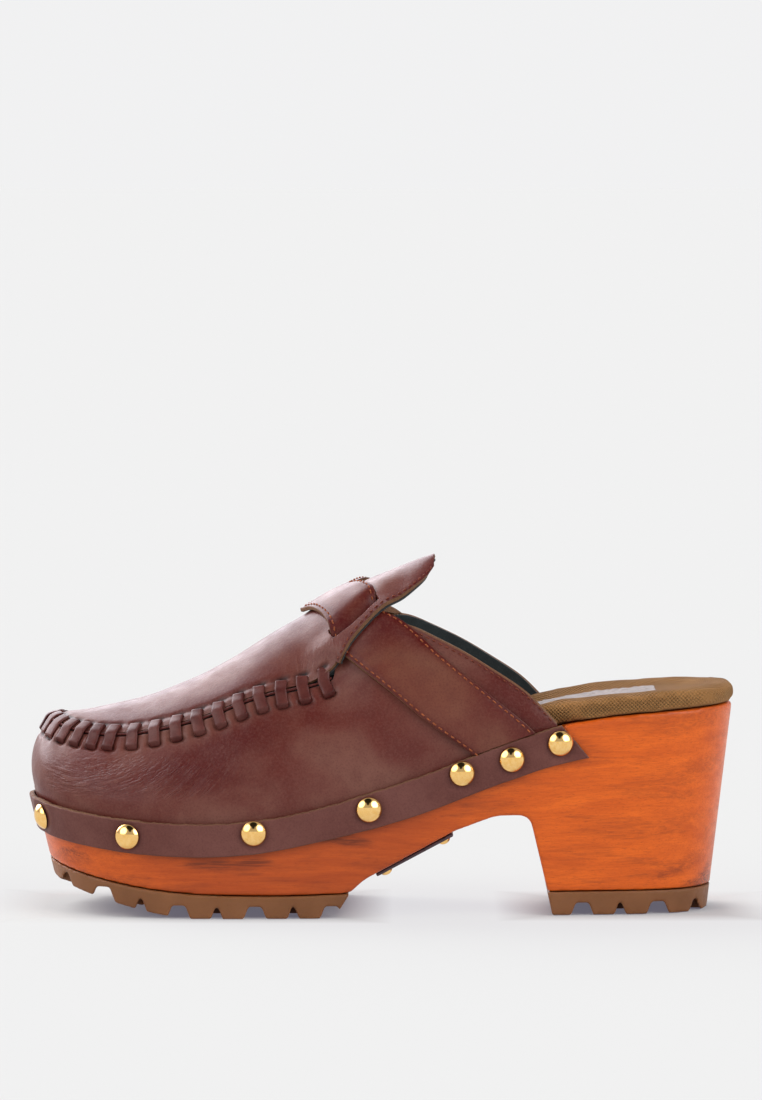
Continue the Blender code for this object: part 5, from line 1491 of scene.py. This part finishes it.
def make_apron_and_strap():
    """The apron with its tongue and lining, slit on both sides, and the strap that runs through the slits."""
    form = form_tree()
    grid = apron_grid(form)
    surface = grid[..., :3]
    apron_tree = tree_of(surface)
    eased = grid.copy()
    soft = lumps(surface, 22.0, 12.0, 2) * 0.3 * smoothstep(grid[..., 5], 3, 12)
    eased[..., :3] += out_of_shoe(surface) * soft[..., None]
    apron = skin("upper_apron", eased, APRON_THICK, LEATHER, 0.4, apron_paint)
    under = inner_of(surface, APRON_THICK + LAYER_GAP)[1:-1, 1:-1]
    lining = skin("lining_apron", under, APRON_LINING_THICK, TONGUE_FELT, 0.2)
    first, last = SLIT_FRONT_ANGLE - 6, SLIT_REAR_ANGLE + 6
    half = np.r_[np.linspace(-10, first - 0.5, 130), np.linspace(first, last, 50), np.linspace(last + 0.5, 90, 26)]
    angles = np.r_[half, 180 - half[-2::-1]]
    high = strap_grid(form, apron_tree, angles, np.linspace(0, 1, 27), STRAP_RISE + STRAP_THICK, ease=14)
    left, side = side_distances(high)
    crowned = high + radial_ways(angles)[:, None, :] * (0.45 * smoothstep(side, 0.0, 4.0))[..., None]
    full = with_values(crowned, side, angles[:, None])
    strap = skin("strap_saddle", full, STRAP_THICK, STRAP_LEATHER, 0.45, strap_paint)
    zone = rand_zone("strap_ends")
    cut_now(strap, zone, keep=True)
    widths = np.linspace(-0.008, 1.01, 5)
    middle = SLIT_FRONT_ANGLE + (SLIT_REAR_ANGLE - SLIT_FRONT_ANGLE) * widths
    slit = middle[None, :] + np.linspace(-SLIT_HALF_ANGLE - 0.8, SLIT_HALF_ANGLE, 9)[:, None]
    for turns in (slit, 180 - slit):
        cutter = shell("slit", *(strap_grid(form, apron_tree, turns, widths, out_by) for out_by in SLIT_CUTTER))
        for piece in (apron, lining):
            cut_now(piece, cutter, keep=True)
        remove(cutter)
    show(apron, "burgundy_leather", "apron")
    show(lining, "lining_felt", "apron_lining")
    show(strap, "burgundy_leather", "saddle_strap")
    zone_tree = tree_of_mesh(zone)
    remove(zone)
    kept = [piece for piece in strap_stitches(crowned, left) if not inside_tree(zone_tree, piece[0].mean(axis=0))]
    show(joined("stitches_strap", kept, RUST_THREAD), "burgundy_leather")
    return apron, apron_tree, form, grid


def inside_tree(tree, point):
    """Whether a point lies in a closed mesh: a ray out of it crosses the surface an odd number of times."""
    start, count = Vector(point), 0
    for _ in range(20):
        hit = tree.ray_cast(start, Vector((0, 0, 1)))[0]
        if hit is None:
            break
        count += 1
        start = hit + Vector((0, 0, 1e-4))
    return count % 2 == 1


def radial_ways(angles):
    turn = np.radians(angles)
    return np.stack([0 * turn, -np.cos(turn), np.sin(turn)], axis=-1)


def threads(line, normals, pitch=2.6, length=1.9, radius=0.27):
    """Short stitches along a line on a surface, each a thread that comes up and goes down again."""
    steps = lengths_along(line)
    ring = circle(8, radius)
    rise = np.array([-0.35, -0.02, 0.14, 0.2, 0.14, -0.02, -0.35])
    sizes = np.array([0.55, 0.85, 1.0, 1.0, 1.0, 0.85, 0.55])
    pieces = []
    for k in range(int(steps[-1] // pitch)):
        at = np.linspace(k * pitch + 0.3, k * pitch + 0.3 + length, len(sizes))
        path, up = read_along(at, steps, line), read_along(at, steps, normals)
        side = np.cross(up, unit(np.gradient(path, axis=0)))
        pieces.append(tube(path + up * rise[:, None], side, up, ring, sizes))
    return pieces


def line_inside(grid, normals, left, inset, far):
    """Points and normals along a line that runs a distance inside the near or far side edge of a grid."""
    return np.array([read_along(reach[-1] - inset if far else inset, reach, np.hstack([row, up]))
                     for row, up, reach in zip(grid, normals, left)])


def strap_stitches(high, left):
    """Rows of stitches along both edges of the strap."""
    normal = grid_normals(high, on_axis(high[..., 0], AXIS_Z))
    pieces = []
    for far in (False, True):
        line = line_inside(high, normal, left, STRAP_SEW, far)
        pieces += threads(line[:, :3], line[:, 3:])
    return pieces


def make_tongue_stitches(grid):
    """One row of stitches round the tongue's edge, from the end of the lacing on one side to the other."""
    surface = grid[..., :3]
    sewn = (grid[:, 0, 3] > 10.15) & (grid[:, 0, 3] < 15.85)
    rows = [field[sewn] for field in (surface, out_of_shoe(surface), side_distances(surface)[0])]
    line = np.concatenate([line_inside(*rows, TONGUE_SEW, False), line_inside(*rows, TONGUE_SEW, True)[::-1]])
    show(joined("stitches_tongue", threads(line[:, :3], line[:, 3:]), DARK_THREAD), "burgundy_leather")


def make_topline_stitches():
    """A row of stitches below the topline on each side, from the strap to the heel end."""
    pieces = []
    for side in (-1, 1):
        ribs = side * np.linspace(10.5, LAST_RIB - 0.15, 160)
        walls = lengths_at(ribs, 0, 1)
        line = last_point(ribs, 1 - TOPLINE_SEW / walls)
        above = last_point(ribs, 1 - SEAM_GAP / walls)
        pieces += threads(line, facing_out(np.cross(np.gradient(line, axis=0), above - line), line))
    show(joined("stitches_topline", pieces, DARK_THREAD), "burgundy_leather")


def nail_frames():
    """Each nail's label, number, seat on the rand and outward axis."""
    frames = []
    for side, label in ((-1, "outer"), (1, "inner")):
        for number, (distance, rise) in enumerate(NAILS, 1):
            place = side * distance * (MEDIAL_SHARE if side > 0 else 1.0)
            x = outline.x_at(place)
            z = (float(seat(x)) + float(rand_bottom_at(x))) / 2 + rise
            here, higher = side_point(place, z, RAND[1]), side_point(place, z + 1.0, RAND[1])
            ahead = side_point(place + 0.5, z, RAND[1]) - side_point(place - 0.5, z, RAND[1])
            axis = np.cross(ahead, higher - here)
            axis /= np.linalg.norm(axis)
            if axis[:2] @ outline.read(place)[1] < 0:
                axis = -axis
            frames.append((label, number, here, axis))
    return frames


def make_rand(nails):
    """The strip nailed round the sole's edge, pressed in a little under each nail, with painted shadow round each
    nail head.
    """
    rows = []
    for share in np.linspace(0, 1, 17):
        places = outline.places_to_x(RAND_TIP_END + (RAND_TOP_END - RAND_TIP_END) * share, 620)
        x = outline.x_at(places)
        low, top = rand_bottom_at(x), seat(x) + RAND_ABOVE_SEAT
        ragged = 0.16 * np.sin(places * 0.9) * np.sin(places * 0.23 + 1.0) + 0.12 * np.sin(places * 2.3)
        rows.append(side_point(places, low + (top + ragged * 0.6 - low) * share, RAND[1]))
    grid = np.stack(rows, axis=1)
    flat = grid.reshape(-1, 3)
    push = lumps(flat, 15.0, 7.0, 2) * 0.10
    shade = np.zeros(len(flat))
    for _, _, seat_point, _ in nails:
        reach = np.linalg.norm(flat - seat_point, axis=1)
        push += 0.14 * bell(reach, 7.6, 1.6) - 0.34 * bell(reach, 0, 5.6, 4)
        # painted shadow round the nail head, a little wider than it
        shade = np.maximum(shade, bell(reach, 0, 5.5, 6))
    normal = grid_normals(grid, grid * (0.8, 0.0, 1.0))
    eased = grid + normal * push.reshape(grid.shape[:2])[..., None]
    # the deep value carries the painted shadow round the nails
    rand = skin("rand_strip", with_values(eased, shade.reshape(grid.shape[:2])), RAND[1] - RAND[0], RAND_LEATHER,
                0.5, lambda g: {"deep": np.clip(g[..., 3] * 0.9 + 0.15, 0, 1)})
    show(rand, "rand_leather", "rand")


def turned(name, section, origin, axis, material, segments=48):
    """A round solid from a section of (radius, height) points that starts and ends on the axis."""
    turn_frame = Vector(axis).to_track_quat("Z", "Y").to_matrix()
    turns = [2 * math.pi * k / segments for k in range(segments)]
    points, index = [], []
    for radius, height in section:
        if radius == 0:
            index.append([len(points)] * segments)
            points.append((0.0, 0.0, height))
            continue
        index.append(list(range(len(points), len(points) + segments)))
        points += [(radius * math.cos(turn), radius * math.sin(turn), height) for turn in turns]
    faces = []
    for low, high in zip(index, index[1:]):
        for k in range(segments):
            after = (k + 1) % segments
            faces.append(tuple(dict.fromkeys((low[k], low[after], high[after], high[k]))))
    placed = [np.array(turn_frame @ Vector(p)) + np.asarray(origin) for p in points]
    return made(name, placed, faces, material, 35.0)


def dome(radius, height, segments):
    """Section of a round cap, from its rim to its top."""
    ball = (radius**2 + height**2) / (2 * height)
    rim = math.asin(radius / ball)
    return [(ball * math.sin(rim * i / segments), ball * math.cos(rim * i / segments) - ball + height)
            for i in range(segments, -1, -1)]


def pin(head_radius, head_height, shank_radius, depth):
    """Section of a nail or screw, from its point to the top of its rolled, domed head."""
    tip = [(0.0, -depth), (shank_radius, -depth + 2.5), (shank_radius, 0.0)]
    rim = [(head_radius - 0.25, 0.0), (head_radius, 0.12)]
    head = [(r * (head_radius - 0.04) / head_radius, h * (1 - 0.34 / head_height) + 0.34)
            for r, h in dome(head_radius, head_height, 12)]
    head[-1] = (0.0, head_height)
    return tip + rim + head


def make_nails(frames):
    section = pin(NAIL_HEAD_RADIUS, NAIL_HEAD_HEIGHT, NAIL_SHANK_RADIUS, NAIL_DEPTH + GAP)
    for label, number, seat_point, axis in frames:
        nail = turned(f"nail_head_{label}_{number}", section, seat_point + axis * 0.05, axis, BRASS)
        show(nail, "brass", f"nail_{label}_{number}")


def make_shank_plate():
    (x0, z0, _), (x1, z1, _) = ARCH_CORNERS[1], ARCH_CORNERS[2]
    slope = (z1 - z0) / (x1 - x0)
    normal = np.array([slope, 0.0, -1.0]) / math.hypot(slope, 1.0)

    def under(x):
        return z0 + slope * (x - x0)

    corners = [np.array([x, 0.0, under(x)]) + normal * GAP for x in PLATE_X]
    lower = [corner + normal * PLATE_THICK for corner in corners]
    section = [(p[0], p[2]) for p in (corners[0], corners[1], lower[1], lower[0])]
    board = plate("plate_shank", section, *PLATE_Y, BOARD)
    ease = board.modifiers.new("Edge", "BEVEL")
    ease.width, ease.segments = 0.45 * MM, 3
    baked(board, 35)
    show(board, "plate_board", "shank_plate")
    section = pin(SCREW_HEAD_RADIUS, SCREW_HEAD_HEIGHT, SCREW_SHANK_RADIUS, SCREW_DEPTH + GAP)
    for end, x in (("front", PLATE_X[0] + SCREW_INSET[0]), ("rear", PLATE_X[1] - SCREW_INSET[0])):
        for side, y in (("outer", PLATE_Y[0] + SCREW_INSET[1]), ("inner", PLATE_Y[1] - SCREW_INSET[1])):
            here = np.array([x, y, under(x)]) + normal * (GAP + PLATE_THICK)
            screw = turned(f"screw_head_{end}_{side}", section, here + normal * 0.05, normal, BRASS, 32)
            slot_screw(screw, here + normal * SCREW_HEAD_HEIGHT, normal)
            show(screw, "brass", f"plate_screw_{end}_{side}")


def slot_screw(screw, top, normal):
    """Cuts a driver's slot across the head."""
    up = Vector(normal)
    side = up.cross(Vector((0, 1, 0))).normalized()
    arms = [np.array(way) * half for way, half in zip((side, up.cross(side), up), SLOT_HALF_SIZES)]
    corners = [np.array(top) + a * arms[0] + b * arms[1] + c * arms[2]
               for c in (-1, 1) for a, b in ((-1, -1), (1, -1), (1, 1), (-1, 1))]
    faces = [(0, 1, 2, 3), (4, 5, 6, 7), (0, 1, 5, 4), (1, 2, 6, 5), (2, 3, 7, 6), (3, 0, 4, 7)]
    cut_now(screw, made("slot_cutter", corners, faces))
    screw.data.set_sharp_from_angle(angle=math.radians(35))


def make_camera():
    data = bpy.data.cameras.new("view")
    data.lens, data.sensor_fit, data.sensor_height = CAMERA_LENS, "VERTICAL", 36.0
    data.clip_start, data.clip_end = 0.05, 50.0
    camera = bpy.data.objects.new("view", data)
    camera.location = (np.array(CAMERA_PLACE) + np.array(CENTRE_SHIFT)) * MM
    camera.rotation_euler = (math.radians(90 - CAMERA_DIP), 0.0, 0.0)
    bpy.context.scene.collection.objects.link(camera)
    bpy.context.scene.camera = camera


def make_stage():
    """A wide pale floor under an even sky, whose edge can't be told from it."""
    rim = circle(96, FLOOR_RADIUS).tolist()
    points = [(0.0, 0.0, FLOOR_Z)] + [(x, y, FLOOR_Z) for x, y in rim]
    faces = [(0, k + 1, (k + 1) % len(rim) + 1) for k in range(len(rim))]
    mesh = bpy.data.meshes.new("studio")
    mesh.from_pydata(points, [], faces)
    mesh.materials.append(floor_look())
    floor = bpy.data.objects.new("studio", mesh)
    bpy.context.scene.collection.objects.link(floor)


def make_light():
    """Soft studio light, all from the sky so that the floor is lit evenly: an even band round the horizon, soft
    boxes above it, and a dark gap overhead in front."""
    world = bpy.data.worlds.new("studio light")
    bpy.context.scene.world = world
    world.use_nodes = True
    sky = Nodes(world.node_tree)
    way = sky.node("TexCoord").outputs["Generated"]
    height = sky.node("SeparateXYZ", {0: way}).outputs["Z"]
    colour = SKY_TONE
    for centre, inner, outer, light in SOFT_BOXES:
        closeness = sky.node("VectorMath", {0: way, 1: unit(np.array(centre)).tolist()}, operation="DOT_PRODUCT")
        edges = [math.cos(math.radians(angle)) for angle in (outer, inner)]
        patch = sky.spread(closeness.outputs["Value"], *edges, interpolation_type="SMOOTHSTEP")
        colour = sky.mix(patch, colour, light)
    above = sky.spread(height, *HORIZON_BAND, interpolation_type="SMOOTHSTEP")
    background = world.node_tree.nodes["Background"]
    sky.fill(background.inputs["Color"], sky.mix(above, HORIZON, colour))
    sky.fill(background.inputs["Strength"], 1.0)


def build():
    bpy.context.scene.view_settings.view_transform = "Standard"
    make_camera()
    make_light()
    make_stage()
    body = rings("wood_space", [side_point(around(420), z) for z in PRISM_LEVELS])
    make_wood(body)
    make_outsoles(body)
    remove(body)
    make_sock(make_footbed())
    make_shank_plate()
    make_linings()
    apron, apron_tree, form, grid = make_apron_and_strap()
    holes = make_lace(apron_tree, form)
    make_seam_cord()
    press_holes(apron, holes[1::2])
    make_vamp(holes[0::2])
    make_tongue_stitches(grid)
    make_topline_stitches()
    nails = nail_frames()
    make_rand(nails)
    make_nails(nails)


build()
